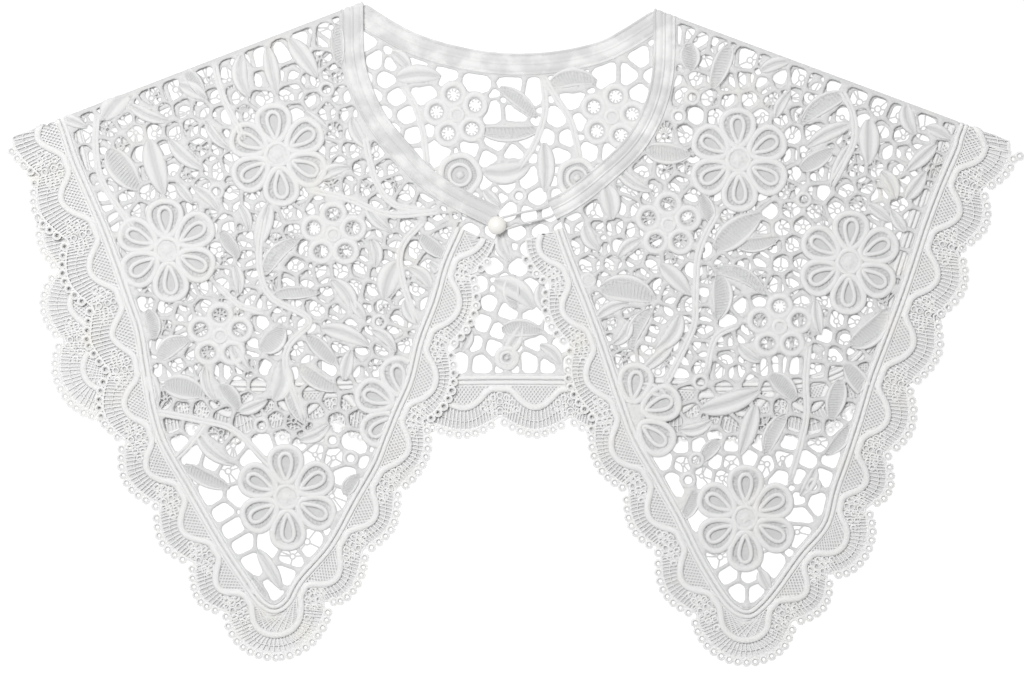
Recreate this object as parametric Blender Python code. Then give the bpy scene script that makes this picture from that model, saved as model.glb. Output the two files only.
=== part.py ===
"""White guipure lace collar with two long front points, laid flat with its shoulders folded.

The back panel lies on the surface. Each front panel turns over at the shoulder, lies on the back
panel and comes down to the surface past the back panel's hem. A tape binds the neck, a scalloped
edging with a two-cord braid runs round each panel, and a pearl button and a loop close the neck.

Lengths are millimetres until a mesh is made. The plane of the collar has +X to the wearer's left in
the picture's right, +Y to the neck and +Z up. Places that were read off the photograph are given in
its pixels and go through at().
"""

import math
from collections import namedtuple

import bmesh
import bpy
import numpy as np
from mathutils import Vector
from mathutils.geometry import delaunay_2d_cdt

PIXEL = 0.5  # width on the collar of one pixel of the photograph
MIDDLE = np.array([512.0, 339.0])  # the photograph's middle, in pixels

WALL = 1.2  # thickness of the lace
FRONT_LIFT = 2.2  # a front panel's underside, where it lies on the back panel
FRONT_RELIEF = 0.9  # how far flowers, leaves and cords stand up on a front panel
BACK_RELIEF = 0.6  # the same on the back panel, which lies under the fronts
SEAM = 0.3  # gap between two pieces that are sewn together
DRAPE_START = -52.0  # the fronts start to come down here, just past the back panel's hem
DRAPE_LENGTH = 26.0  # and are on the surface this much further down

TAPE_WIDTH = 11.0
TAPE_THICK = 1.8
BRAID_WIDTH = 5.0
BRAID_CORD = 1.25  # distance of each braid cord from the braid's middle
BRAID_STEP = 11.0
SCALLOP_WIDTH = 31.0  # from the braid's middle to the edge at a scallop's crest
NOTCH_WIDTH = 23.5  # and at the notch between two scallops
NECK_NARROWING = 0.72  # the edging's width next to the neck, as a part of its full width
BACK_NARROWING = (0.95, 0.95)
EDGING_STOP = 9.0  # the inner edging stops this far along the braid from the tape's middle
GIMP_NEAR = 5.0  # the wavy cord's distance from the braid's middle at a notch
GIMP_FAR = 14.5  # and at a scallop's crest
SCALLOP_POINTS = 7  # outline points for each scallop
TAPE_STEP = 10.0

BAR = 1.9  # width of the bars between two gaps of the ground
EDGE_MARGIN = 1.7  # solid lace along a panel's edge
GAP_SIDES = 6
FRONT_GAPS = 88
BACK_GAPS = 78
LEAST_GAP_RADIUS = 2.0  # gaps under 4 mm stay uncut
FRONT_PITCH = 10.5  # spacing of the gaps before they settle
BACK_PITCH = 11.0
FRONT_SEED = 3
BACK_SEED = 5

FLOWER_RADIUS = 26.0
PETALS = 6
RING_FLOWER_RADIUS = 17.5
RINGS = 5
RING_OUTER = 7.2
RING_HOLE = 3.1
LEAF_WIDTH = 7.0
STEM_RADIUS = 1.2
SMALL_RING = 4.6

BUTTON_RADIUS = 4.6
SHANK_RADIUS = 1.5
SHANK_HEIGHT = 1.9
DOME_HEIGHT = 3.0
LOOP_RADIUS = 0.6  # of the loop's cord
LOOP_REACH = 3.0  # of the loop round the button's shank

FIELD_STEP = 1.0
FIELD_LOW = np.array([-262.0, -176.0])
FIELD_SIZE = (526, 354)
FAR = 20.0
LEAST_AREA = 1e-3  # a triangle's area where it is taken as three points in a row

Fold = namedtuple("Fold", "foot along out")
Flower = namedtuple("Flower", "x y turn")
Design = namedtuple("Design", "flowers ring_flowers leaves stems small_rings")
Side = namedtuple("Side", "fold design braid tape")

# Each row of leaves has a foot and a tip: foot x, foot y, tip x, tip y, in the photograph's pixels.
LEFT_DESIGN = Design(
    flowers=(Flower(278, 155, 95), Flower(168, 250, 95), Flower(287, 497, 92), Flower(405, 408, 100)),
    ring_flowers=(Flower(334, 235, 90), Flower(221, 336, 90)),
    leaves=(
        (338, 25, 340, 68), (290, 40, 318, 78), (243, 55, 250, 98), (268, 48, 278, 95),
        (180, 85, 208, 100), (105, 120, 135, 90), (150, 140, 165, 195), (110, 150, 140, 190),
        (170, 140, 205, 170), (222, 232, 240, 258), (235, 265, 240, 295), (265, 275, 300, 240),
        (275, 295, 320, 293), (333, 280, 355, 315), (262, 350, 283, 325), (275, 400, 282, 360),
        (308, 335, 338, 365), (300, 365, 340, 390), (290, 380, 308, 425), (160, 360, 190, 340),
        (165, 385, 205, 395), (222, 385, 240, 410), (398, 262, 385, 300), (420, 235, 448, 258),
        (410, 268, 432, 290), (405, 300, 420, 325), (197, 430, 235, 465), (185, 465, 230, 488),
        (258, 550, 282, 590), (235, 565, 270, 600), (345, 495, 360, 475), (148, 310, 155, 340),
    ),
    stems=(
        ((215, 65), (225, 100), (245, 140)),
        ((98, 115), (97, 150), (105, 185), (135, 230)),
        ((265, 215), (260, 250), (263, 280), (275, 300), (310, 320), (290, 345), (287, 370), (305, 420)),
        ((218, 285), (240, 305), (265, 313)),
        ((365, 135), (370, 160), (378, 185), (395, 205), (430, 212)),
        ((308, 190), (350, 200), (390, 215), (440, 212)),
        ((425, 220), (402, 248), (403, 280), (418, 325)),
        ((157, 412), (200, 420), (235, 430), (270, 465)),
        ((205, 425), (190, 445), (175, 460)),
    ),
    small_rings=((327, 90), (217, 192), (262, 425), (380, 322), (333, 440), (351, 458)),
)
RIGHT_DESIGN = Design(
    flowers=(Flower(738, 160, 90), Flower(848, 262, 88), Flower(745, 518, 90), Flower(630, 415, 80)),
    ring_flowers=(Flower(668, 225, 90), Flower(779, 327, 90)),
    leaves=(
        (688, 45, 690, 72), (730, 45, 712, 90), (845, 95, 800, 125), (850, 125, 805, 148),
        (868, 120, 868, 165), (850, 145, 830, 190), (905, 105, 915, 135), (935, 145, 905, 172),
        (645, 150, 690, 155), (605, 185, 612, 220), (715, 250, 760, 215), (715, 270, 765, 295),
        (718, 275, 717, 320), (600, 290, 655, 300), (660, 265, 690, 295), (650, 310, 630, 350),
        (680, 315, 655, 350), (850, 345, 885, 310), (840, 380, 830, 420), (700, 410, 760, 390),
        (755, 405, 740, 455), (785, 415, 765, 455), (770, 375, 795, 400), (850, 425, 825, 455),
        (695, 490, 680, 520), (760, 570, 770, 590),
    ),
    stems=(
        ((718, 212), (705, 235), (697, 260), (695, 300), (692, 330), (665, 385)),
        ((840, 90), (852, 115), (852, 145), (830, 185)),
        ((808, 345), (805, 380), (805, 420), (790, 480)),
    ),
    small_rings=(
        (692, 98), (678, 117), (588, 281), (803, 200), (700, 382), (696, 460), (688, 480), (813, 486),
    ),
)
BACK_DESIGN = Design(
    flowers=(),
    ring_flowers=(Flower(457, 115, 100), Flower(612, 117, 80)),
    leaves=(
        (400, 80, 438, 75), (555, 85, 590, 75), (480, 128, 535, 132), (500, 88, 537, 118),
        (490, 165, 525, 168), (545, 145, 550, 185), (515, 275, 517, 310), (505, 355, 522, 325),
    ),
    stems=(
        ((405, 90), (420, 110), (425, 165)),
        ((545, 75), (560, 105), (573, 130), (580, 160)),
        ((540, 90), (543, 120), (520, 165)),
    ),
    small_rings=((519, 196), (460, 175), (577, 178)),
)

# The middle of each braid, anticlockwise round its panel, and the crest of each scallop, in pixels.
LEFT_BRAID = (
    (62, 122), (75, 160), (90, 195), (105, 230), (118, 265), (130, 300), (140, 330), (145, 360),
    (150, 390), (155, 415), (165, 445), (190, 490), (222, 545), (245, 580), (261, 602), (275, 609),
    (288, 601), (300, 580), (330, 545), (355, 500), (375, 465), (385, 440), (397, 410), (410, 380),
    (420, 340), (435, 300), (445, 265), (458, 235), (468, 212),
)
RIGHT_BRAID = (
    (553, 212), (562, 240), (575, 275), (585, 300), (600, 340), (610, 370), (620, 400), (635, 440),
    (655, 475), (680, 520), (700, 560), (720, 593), (734, 609), (748, 614), (760, 607), (775, 590),
    (800, 555), (825, 525), (835, 490), (845, 460), (858, 420), (870, 380), (885, 340), (900, 300),
    (912, 265), (925, 225), (940, 185), (955, 150), (962, 128),
)
BACK_BRAID = (
    (72, 120), (88, 190), (96, 260), (99, 325), (112, 368), (155, 384), (230, 387), (300, 387),
    (370, 384), (440, 381), (512, 380), (590, 381), (660, 384), (730, 387), (800, 384), (850, 366),
    (880, 325), (900, 260), (920, 200), (945, 122),
)
LEFT_CRESTS = (
    (38, 140), (68, 200), (97, 270), (118, 335), (130, 405), (150, 470), (185, 530), (222, 585),
    (275, 635), (335, 578), (373, 517), (411, 452), (438, 385), (460, 310), (486, 243),
)
RIGHT_CRESTS = (
    (542, 250), (563, 312), (585, 380), (610, 455), (645, 520), (685, 580), (743, 640), (800, 590),
    (835, 540), (866, 482), (888, 420), (908, 345), (933, 278), (957, 215), (990, 150),
)
BACK_CRESTS = (
    (40, 165), (55, 235), (60, 305), (80, 385), (155, 410), (230, 412), (300, 412), (370, 410),
    (465, 405), (535, 405), (605, 406), (675, 410), (745, 412), (810, 408), (880, 378), (915, 300),
    (935, 235), (955, 170),
)
LEFT_TIP, RIGHT_TIP = (275, 609), (748, 614)
BACK_LEFT_CORNER, BACK_RIGHT_CORNER = (112, 368), (850, 366)

LEFT_TAPE = (
    (353, 10), (354, 60), (364, 95), (379, 125), (400, 150), (425, 178), (450, 195), (475, 208), (500, 220),
)
RIGHT_TAPE = (
    (664, 16), (664, 60), (660, 90), (650, 120), (635, 145), (615, 165), (595, 182), (575, 198), (552, 210),
)
BACK_TAPE = (
    (354, 9), (378, 25), (410, 43), (455, 57), (500, 64), (552, 63), (600, 53), (630, 38), (664, 16),
)
LEFT_SHOULDER = ((365, 5), (4, 144))  # neck end and outer end of the fold
RIGHT_SHOULDER = ((655, 13), (1019, 148))
BUTTON = (497, 226)
NECK_OPENING = (519, 190)  # where the back panel shows

# The tape's section: half widths from its middle, thicknesses from its underside.
TAPE_SECTION = (
    (-1.0, 0.25), (-0.93, 0.0), (0.93, 0.0), (1.0, 0.25),
    (1.0, 0.75), (0.88, 1.0), (-0.88, 1.0), (-1.0, 0.75),
)
# Petal points from the flower's middle: distance out and to the side, and height, as parts of its size.
PETAL_RELIEF = (
    (0.46, -0.17, 0.9), (0.46, 0.17, 0.9), (0.77, -0.245, 0.9), (0.77, 0.245, 0.9), (0.95, 0.0, 0.9),
    (0.5, 0.0, 0.35), (0.74, 0.0, 1.0),
)
# Discs that cover a petal: distance out and radius, as parts of the flower's radius.
PETAL_DISCS = ((0.54, 0.21), (0.71, 0.30))


def at(points):
    """Places in the collar's plane for places in the photograph's pixels."""
    return (np.asarray(points, float) - MIDDLE) * (PIXEL, -PIXEL)


def unit(vector):
    """The vector with a length of one."""
    return vector / np.linalg.norm(vector)


def lengths(path):
    """How far along a path each of its points lies."""
    steps = np.linalg.norm(np.diff(path, axis=0), axis=1)
    return np.concatenate([[0.0], np.cumsum(steps)])


def resampled(path, step):
    """Points at even distances of about `step` along a path."""
    along = lengths(path)
    stops = np.linspace(0, along[-1], max(2, round(along[-1] / step) + 1))
    return np.column_stack([np.interp(stops, along, path[:, axis]) for axis in range(path.shape[1])])


def smooth(points, step):
    """Points at even distances along a Catmull-Rom curve through the given points."""
    ends = np.vstack([2 * points[0] - points[1], points, 2 * points[-1] - points[-2]])
    t = np.linspace(0, 1, 13)[:-1, None]
    pieces = []
    for a, b, c, d in zip(ends, ends[1:], ends[2:], ends[3:]):
        square, cube = (2 * a - 5 * b + 4 * c - d) / 2, (3 * b - a - 3 * c + d) / 2
        pieces.append(b + (c - a) * t / 2 + square * t**2 + cube * t**3)
    return resampled(np.vstack(pieces + [points[-1:]]), step)


def right_of(path):
    """The unit normal on the right-hand side of each point of a path."""
    tangent = np.gradient(path, axis=0)
    tangent /= np.linalg.norm(tangent, axis=1)[:, None]
    return np.column_stack([tangent[:, 1], -tangent[:, 0]])


def offset(path, distance):
    """A path moved to its right-hand side."""
    return path + distance * right_of(path)


def longer(path, extra):
    """A path with a straight stretch added at both ends."""
    first = path[0] + extra * unit(path[0] - path[1])
    last = path[-1] + extra * unit(path[-1] - path[-2])
    return np.vstack([first, path, last])


def crossing(a, b):
    """Where path a first crosses path b: the place along each, counted in points, and the point."""
    for i, (p, r) in enumerate(zip(a[:-1], np.diff(a, axis=0))):
        s = np.diff(b, axis=0)
        across = r[0] * s[:, 1] - r[1] * s[:, 0]
        gap = b[:-1] - p
        t = (gap[:, 0] * s[:, 1] - gap[:, 1] * s[:, 0]) / across
        u = (gap[:, 0] * r[1] - gap[:, 1] * r[0]) / across
        hits = np.flatnonzero((t >= 0) & (t < 1) & (u >= 0) & (u < 1))
        if len(hits):
            return i + t[hits[0]], hits[0] + u[hits[0]], p + t[hits[0]] * r
    raise ValueError("two edges of a panel do not meet")


def outline_of(edges):
    """A closed outline from paths that each cross the next, cut where they cross.

    The first edge's points come first, from one crossing to the other.
    """
    meets = [crossing(a, b) for a, b in zip(edges, edges[1:] + edges[:1])]
    points = []
    for i, edge in enumerate(edges):
        first, corner = meets[i - 1][1], meets[i - 1][2]
        last, next_corner = meets[i][0], meets[i][2]
        inside = edge[math.ceil(first) : math.floor(last) + 1]
        clear = [p for p in inside if min(np.linalg.norm(p - corner), np.linalg.norm(p - next_corner)) > 1]
        points += [corner] + clear
    return np.array(points)


def inside(points, polygon):
    """Which points lie inside a polygon, by the even-odd rule."""
    x, y = points[:, 0, None], points[:, 1, None]
    x0, y0 = polygon[:, 0], polygon[:, 1]
    x1, y1 = np.roll(x0, -1), np.roll(y0, -1)
    spans = (y0 > y) != (y1 > y)
    with np.errstate(divide="ignore", invalid="ignore"):
        hits = spans & (x < (x1 - x0) * (y - y0) / (y1 - y0) + x0)
    return hits.sum(axis=1) % 2 == 1


def edge_distance(points, polygon):
    """How far each point lies from a polygon's nearest edge."""
    start, run = polygon, np.roll(polygon, -1, axis=0) - polygon
    to = points[:, None] - start
    part = np.clip((to * run).sum(axis=2) / (run**2).sum(axis=1), 0, 1)
    return np.linalg.norm(to - part[..., None] * run, axis=2).min(axis=1)


def petal_frames(flower, count):
    """The outward and the sideways direction of each petal or ring of a flower."""
    for k in range(count):
        angle = math.radians(flower.turn + 360 * k / count)
        out = np.array([math.cos(angle), math.sin(angle)])
        yield out, np.array([-out[1], out[0]])


def leaf_axis(leaf, places):
    """Points along a leaf's middle."""
    foot, tip = at(leaf[:2]), at(leaf[2:])
    return foot + np.asarray(places)[:, None] * (tip - foot)


def ring_centres(flower):
    """The middles of a ring flower's rings."""
    middle = at((flower.x, flower.y))
    return [middle + (RING_FLOWER_RADIUS - RING_OUTER) * out for out, _ in petal_frames(flower, RINGS)]


def design_discs(design):
    """Discs (x, y, radius) that cover the flowers, leaves, stems and rings of a panel."""
    discs = []
    for flower in design.flowers:
        middle = at((flower.x, flower.y))
        discs.append((*middle, FLOWER_RADIUS * 0.3))
        for out, _ in petal_frames(flower, PETALS):
            discs += [(*(middle + FLOWER_RADIUS * away * out), FLOWER_RADIUS * r) for away, r in PETAL_DISCS]
    for flower in design.ring_flowers:
        discs.append((*at((flower.x, flower.y)), RING_OUTER))
        discs += [(*centre, RING_OUTER) for centre in ring_centres(flower)]
    places = np.linspace(0.06, 0.94, 7)
    for leaf in design.leaves:
        radii = LEAF_WIDTH / 2 * np.sin(np.pi * places) ** 0.7
        discs += [(*point, radius) for point, radius in zip(leaf_axis(leaf, places), radii)]
    for stem in design.stems:
        discs += [(*point, STEM_RADIUS) for point in smooth(at(stem), STEM_RADIUS)]
    discs += [(*at(ring), SMALL_RING) for ring in design.small_rings]
    return discs


def distance_field(discs):
    """The distance to the nearest disc at each point of a grid, less than FAR."""
    field = np.full(FIELD_SIZE, FAR)
    for x, y, radius in discs:
        reach = radius + 8.0
        low = np.maximum(np.floor((np.array([x, y]) - reach - FIELD_LOW) / FIELD_STEP).astype(int), 0)
        high = np.ceil((np.array([x, y]) + reach - FIELD_LOW) / FIELD_STEP).astype(int) + 1
        window = field[low[0] : high[0], low[1] : high[1]]
        gx = FIELD_LOW[0] + FIELD_STEP * (low[0] + np.arange(window.shape[0]))
        gy = FIELD_LOW[1] + FIELD_STEP * (low[1] + np.arange(window.shape[1]))
        np.minimum(window, np.hypot(gx[:, None] - x, gy - y) - radius, out=window)
    return field


def read_field(field, points):
    """The field at any points, between its grid's values."""
    place = (points - FIELD_LOW) / FIELD_STEP
    place = np.clip(place, 0, np.array(FIELD_SIZE) - 1.001)
    i, j = place[..., 0].astype(int), place[..., 1].astype(int)
    fx, fy = place[..., 0] - i, place[..., 1] - j
    lower = field[i, j] * (1 - fx) + field[i + 1, j] * fx
    upper = field[i, j + 1] * (1 - fx) + field[i + 1, j + 1] * fx
    return lower * (1 - fy) + upper * fy


def field_slope(field, points):
    """The direction in which the field rises."""
    step = np.array([[FIELD_STEP, 0.0], [0.0, FIELD_STEP]])
    rises = [read_field(field, points + s) - read_field(field, points - s) for s in step]
    return np.column_stack(rises) / (2 * FIELD_STEP)


def settled_seeds(outline, field, pitch, seed):
    """Middles for the ground's gaps: a jittered grid that has moved off the motifs and spread out."""
    rng = np.random.default_rng(seed)
    low, high = outline.min(axis=0), outline.max(axis=0)
    rows = np.arange(low[1], high[1], pitch * math.sqrt(0.75))
    grid = []
    for k, y in enumerate(rows):
        xs = np.arange(low[0] + (k % 2) * pitch / 2, high[0], pitch)
        grid.append(np.column_stack([xs, np.full(len(xs), y)]))
    seeds = np.vstack(grid)
    seeds += rng.uniform(-0.22, 0.22, seeds.shape) * pitch
    seeds = seeds[inside(seeds, outline) & (read_field(field, seeds) > -0.5)]
    for _ in range(40):
        away = seeds[:, None] - seeds
        gap = np.linalg.norm(away, axis=2) + np.eye(len(seeds)) * FAR
        push = np.clip(0.95 * pitch - gap, 0, None) / gap
        move = 0.3 * (away * push[..., None]).sum(axis=1)
        near = np.clip(0.42 * pitch - read_field(field, seeds), 0, None)
        seeds = seeds + move + 0.35 * near[:, None] * field_slope(field, seeds)
    kept = inside(seeds, outline) & (read_field(field, seeds) > LEAST_GAP_RADIUS)
    seeds = seeds[kept]
    gap = np.linalg.norm(seeds[:, None] - seeds, axis=2)
    crowded = (np.triu(gap < 0.45 * pitch, 1)).any(axis=0)
    return seeds[~crowded]


def ground_gaps(seeds, field, sides):
    """Each seed's gap, out to the motifs and to half a bar from the halfway line to each neighbour."""
    turn = 2 * np.pi * (np.arange(sides) + 0.5) / sides
    rays = np.column_stack([np.cos(turn), np.sin(turn)])
    reach = np.linspace(0.4, 9.0, 40)
    gaps = []
    for k, seed in enumerate(seeds):
        others = np.delete(seeds, k, axis=0) - seed
        apart = np.linalg.norm(others, axis=1)
        facing = rays @ (others / apart[:, None]).T
        with np.errstate(divide="ignore"):
            limits = np.where(facing > 1e-3, (apart / 2 - BAR / 2) / facing, np.inf).min(axis=1)
        blocked = read_field(field, seed + rays[:, None] * reach[:, None]) < 0
        clear = np.where(blocked.any(axis=1), reach[np.argmax(blocked, axis=1)], reach[-1])
        out = np.minimum(limits, clear)
        gaps.append(seed + rays * out[:, None])
    return gaps


def area_of(polygon):
    """A polygon's area, positive where it runs anticlockwise."""
    x, y = polygon.T
    return 0.5 * (x * np.roll(y, -1) - y * np.roll(x, -1)).sum()


def gap_radius(polygon):
    """The distance from a gap's middle to its nearest edge."""
    return edge_distance(polygon.mean(axis=0)[None], polygon)[0]


def chosen_gaps(outline, design, pitch, most, seed, rank):
    """The gaps that a panel's wall has cut through it: ring flowers' holes, then ground gaps by rank."""
    margin = [(*point, EDGE_MARGIN) for point in resampled(np.vstack([outline, outline[:1]]), 1.0)]
    field = distance_field(design_discs(design) + margin)
    seeds = settled_seeds(outline, field, pitch, seed)
    gaps = [gap for gap in ground_gaps(seeds, field, GAP_SIDES) if gap_radius(gap) >= LEAST_GAP_RADIUS]
    gaps = sorted(gaps, key=rank)[:most]
    turn = 2 * np.pi * np.arange(GAP_SIDES) / GAP_SIDES
    ring = RING_HOLE * np.column_stack([np.cos(turn), np.sin(turn)])
    for flower in design.ring_flowers:
        gaps += [centre + ring for centre in ring_centres(flower) if inside(centre[None], outline)[0]]
    return gaps


def relief_points(design, outline, gaps, height):
    """Raised points (x, y, height) of a panel's flowers, ring flowers, leaves and small rings."""
    points = []
    for flower in design.flowers:
        middle = at((flower.x, flower.y))
        points.append((*middle, 1.0))
        for out, aside in petal_frames(flower, PETALS):
            points.append((*(middle + 0.23 * FLOWER_RADIUS * (out + 0.58 * aside)), 0.6))
            for away, side, rise in PETAL_RELIEF:
                points.append((*(middle + FLOWER_RADIUS * (away * out + side * aside)), rise))
    for flower in design.ring_flowers:
        middle = at((flower.x, flower.y))
        points.append((*middle, 0.9))
        for centre, (out, aside) in zip(ring_centres(flower), petal_frames(flower, RINGS)):
            for a, b in ((1, 0), (0.3, 0.95), (0.3, -0.95), (-0.8, 0.6), (-0.8, -0.6)):
                points.append((*(centre + 5.2 * (a * out + b * aside)), 0.8))
    for leaf in design.leaves:
        points += [(*point, 0.8) for point in leaf_axis(leaf, (0.25, 0.5, 0.78))]
    points += [(*at(ring), 0.7) for ring in design.small_rings]
    points = np.array(points)
    clear = inside(points[:, :2], outline) & (edge_distance(points[:, :2], outline) > 0.8)
    for gap in gaps:
        clear &= ~inside(points[:, :2], gap) & (edge_distance(points[:, :2], gap) > 0.5)
    points = points[clear] * (1, 1, height)
    return points


def triangles(loops, extra):
    """Triangles between closed loops, the first of them outermost, over their points and the extra ones."""
    points = np.vstack(loops + ([extra] if len(extra) else []))
    edges, start = [], 0
    for loop in loops:
        ring = start + np.arange(len(loop))
        edges += list(zip(ring.tolist(), np.roll(ring, -1).tolist()))
        start += len(loop)
    _, _, faces, origins, _, _ = delaunay_2d_cdt([Vector(p) for p in points], edges, [], 0, 1e-5)
    faces = np.array(faces)
    faces = np.array([origin[0] for origin in origins])[faces]
    middles = points[faces].mean(axis=1)
    kept = inside(middles, loops[0])
    for loop in loops[1:]:
        near = np.linalg.norm(middles - loop.mean(axis=0), axis=1) < 12
        kept[near] &= ~inside(middles[near], loop)
    a, b, c = (points[faces[:, k]] for k in range(3))
    twice = (b - a)[:, 0] * (c - a)[:, 1] - (b - a)[:, 1] * (c - a)[:, 0]
    faces[twice < 0] = faces[twice < 0][:, ::-1]
    return faces[kept & (np.abs(twice) > LEAST_AREA)]


def turned_over(point, fold_out, height, thick, angle):
    """A point of a front piece's edge carried round the shoulder fold."""
    inner = (FRONT_LIFT - thick) / 2
    radius = inner + height
    plan = point + fold_out * radius * math.sin(angle)
    return (*plan, FRONT_LIFT - inner + radius * math.cos(angle))


FOLD_ANGLES = np.radians((45, 90, 135, 180))


def lace_wall(outline, gaps, raised, under, fold_points=0, fold_out=None):
    """Points and faces of a wall: plain below, raised above, cut through at the gaps.

    The first fold_points points of the outline lie on a shoulder fold, where the wall goes on round
    the fold and ends under itself.
    """
    loops = [outline] + gaps
    plan = np.vstack(loops)
    count = len(plan)
    floor = under(plan)
    points = [(*p, z) for p, z in zip(plan, floor)] + [(*p, z + WALL) for p, z in zip(plan, floor)]
    faces = [tuple(face[::-1]) for face in triangles(loops, np.empty((0, 2))).tolist()]
    upper = triangles(loops, raised[:, :2])
    points += [(x, y, z + WALL + rise) for (x, y, rise), z in zip(raised, under(raised[:, :2]))]
    faces += [tuple(face) for face in (upper + count).tolist()]
    start = 0
    for loop in loops:
        ring = start + np.arange(len(loop))
        skip = fold_points - 1 if start == 0 and fold_points else 0
        for i, j in list(zip(ring, np.roll(ring, -1)))[skip:]:
            faces.append((int(i), int(j), int(j) + count, int(i) + count))
        start += len(loop)
    if fold_points:
        lower, top = list(range(fold_points)), [count + i for i in range(fold_points)]
        for angle in FOLD_ANGLES:
            base = len(points)
            for height in (0.0, WALL):
                points += [turned_over(p, fold_out, height, WALL, angle) for p in outline[:fold_points]]
            next_lower = list(range(base, base + fold_points))
            next_top = [base + fold_points + i for i in range(fold_points)]
            for i in range(fold_points - 1):
                faces.append((lower[i], next_lower[i], next_lower[i + 1], lower[i + 1]))
                faces.append((top[i], top[i + 1], next_top[i + 1], next_top[i]))
            faces.append((lower[0], top[0], next_top[0], next_lower[0]))
            faces.append((lower[-1], next_lower[-1], next_top[-1], top[-1]))
            lower, top = next_lower, next_top
        for i in range(fold_points - 1):
            faces.append((lower[i], top[i], top[i + 1], lower[i + 1]))
    return points, faces


def material(name, colour, roughness):
    """A plain dielectric material."""
    made = bpy.data.materials.new(name)
    made.use_nodes = True
    shader = made.node_tree.nodes["Principled BSDF"]
    shader.inputs["Base Color"].default_value = (*colour, 1.0)
    shader.inputs["Roughness"].default_value = roughness
    shader.inputs["Metallic"].default_value = 0.0
    return made


def add_object(name, points, faces, finish, smooth_angle=35):
    """A closed mesh object from points in millimetres."""
    mesh = bpy.data.meshes.new(name)
    points = np.array(points) / 1000
    mesh.from_pydata(points.tolist(), [], faces)
    bm = bmesh.new()
    bm.from_mesh(mesh)
    bmesh.ops.triangulate(bm, faces=[face for face in bm.faces if len(face.verts) > 3])
    bmesh.ops.recalc_face_normals(bm, faces=bm.faces)
    bm.to_mesh(mesh)
    bm.free()
    mesh.shade_smooth()
    mesh.set_sharp_from_angle(angle=math.radians(smooth_angle))
    mesh.materials.append(finish)
    made = bpy.data.objects.new(name, mesh)
    bpy.context.collection.objects.link(made)
    return made


def fold_line(shoulder):
    """The shoulder fold as a foot, a direction along it and the direction out over it."""
    neck, outer = at(shoulder)
    along = unit(outer - neck)
    out = np.array([-along[1], along[0]])
    if out[1] < 0:
        out = -out
    return Fold(neck, along, out)


def on_fold(fold, point, inset=0.0):
    """The nearest place to a point on a line beside the fold, inset from it."""
    return fold.foot + fold.along * ((point - fold.foot) @ fold.along) - inset * fold.out


def fold_path(fold, inset=0.0):
    """A long straight path on the fold, from the neck outwards."""
    ends = fold.foot + np.array([[-30.0], [215.0]]) * fold.along - inset * fold.out
    return resampled(ends, 9.0)


def braid_path(pixels, starts, ends, inset=0.0):
    """A braid's middle, square to the folds that it starts or ends at."""
    points = at(pixels)
    if starts:
        points[0] = on_fold(starts, points[0], inset)
        points = np.insert(points, 1, points[0] - 6.0 * starts.out, axis=0)
    if ends:
        points[-1] = on_fold(ends, points[-1], inset)
        points = np.insert(points, -1, points[-1] - 6.0 * ends.out, axis=0)
    return smooth(points, 0.5)


def nearest_place(path, point):
    """How far along a path its nearest point to the given one lies."""
    return lengths(path)[np.argmin(np.linalg.norm(path - point, axis=1))]


def scallop_phase(path, crests, along):
    """Which scallop each place along a path is in: whole at a crest, and a half at a notch."""
    stops = np.array([nearest_place(path, point) for point in at(crests)])
    steps = np.diff(stops)
    stops = np.concatenate([[stops[0] - steps[0]], stops, [stops[-1] + steps[-1]]])
    return np.interp(along, stops, np.arange(len(stops)))


def beside(path, stops, widths):
    """Places at distances along a path, moved to its right-hand side by the widths."""
    along, normal = lengths(path), right_of(path)
    spot = np.column_stack([np.interp(stops, along, path[:, k]) for k in range(2)])
    side = np.column_stack([np.interp(stops, along, normal[:, k]) for k in range(2)])
    side /= np.linalg.norm(side, axis=1)[:, None]
    return spot + side * np.asarray(widths)[:, None]


def braid_stops(first, last):
    """Even distances along a braid from one end of a strip to the other."""
    return np.linspace(first, last, max(2, round((last - first) / BRAID_STEP) + 1))


def panel_rim(path, strips):
    """The edge of a panel's lace beside its braid, with points where the braid's strips have theirs."""
    stops = np.concatenate([[0.0]] + [braid_stops(*strip) for strip in strips] + [lengths(path)[-1:]])
    stops = stops[np.concatenate([[True], np.diff(stops) > 0.5])]
    return beside(path, stops, np.full(len(stops), -BRAID_WIDTH / 2 - SEAM))


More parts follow.
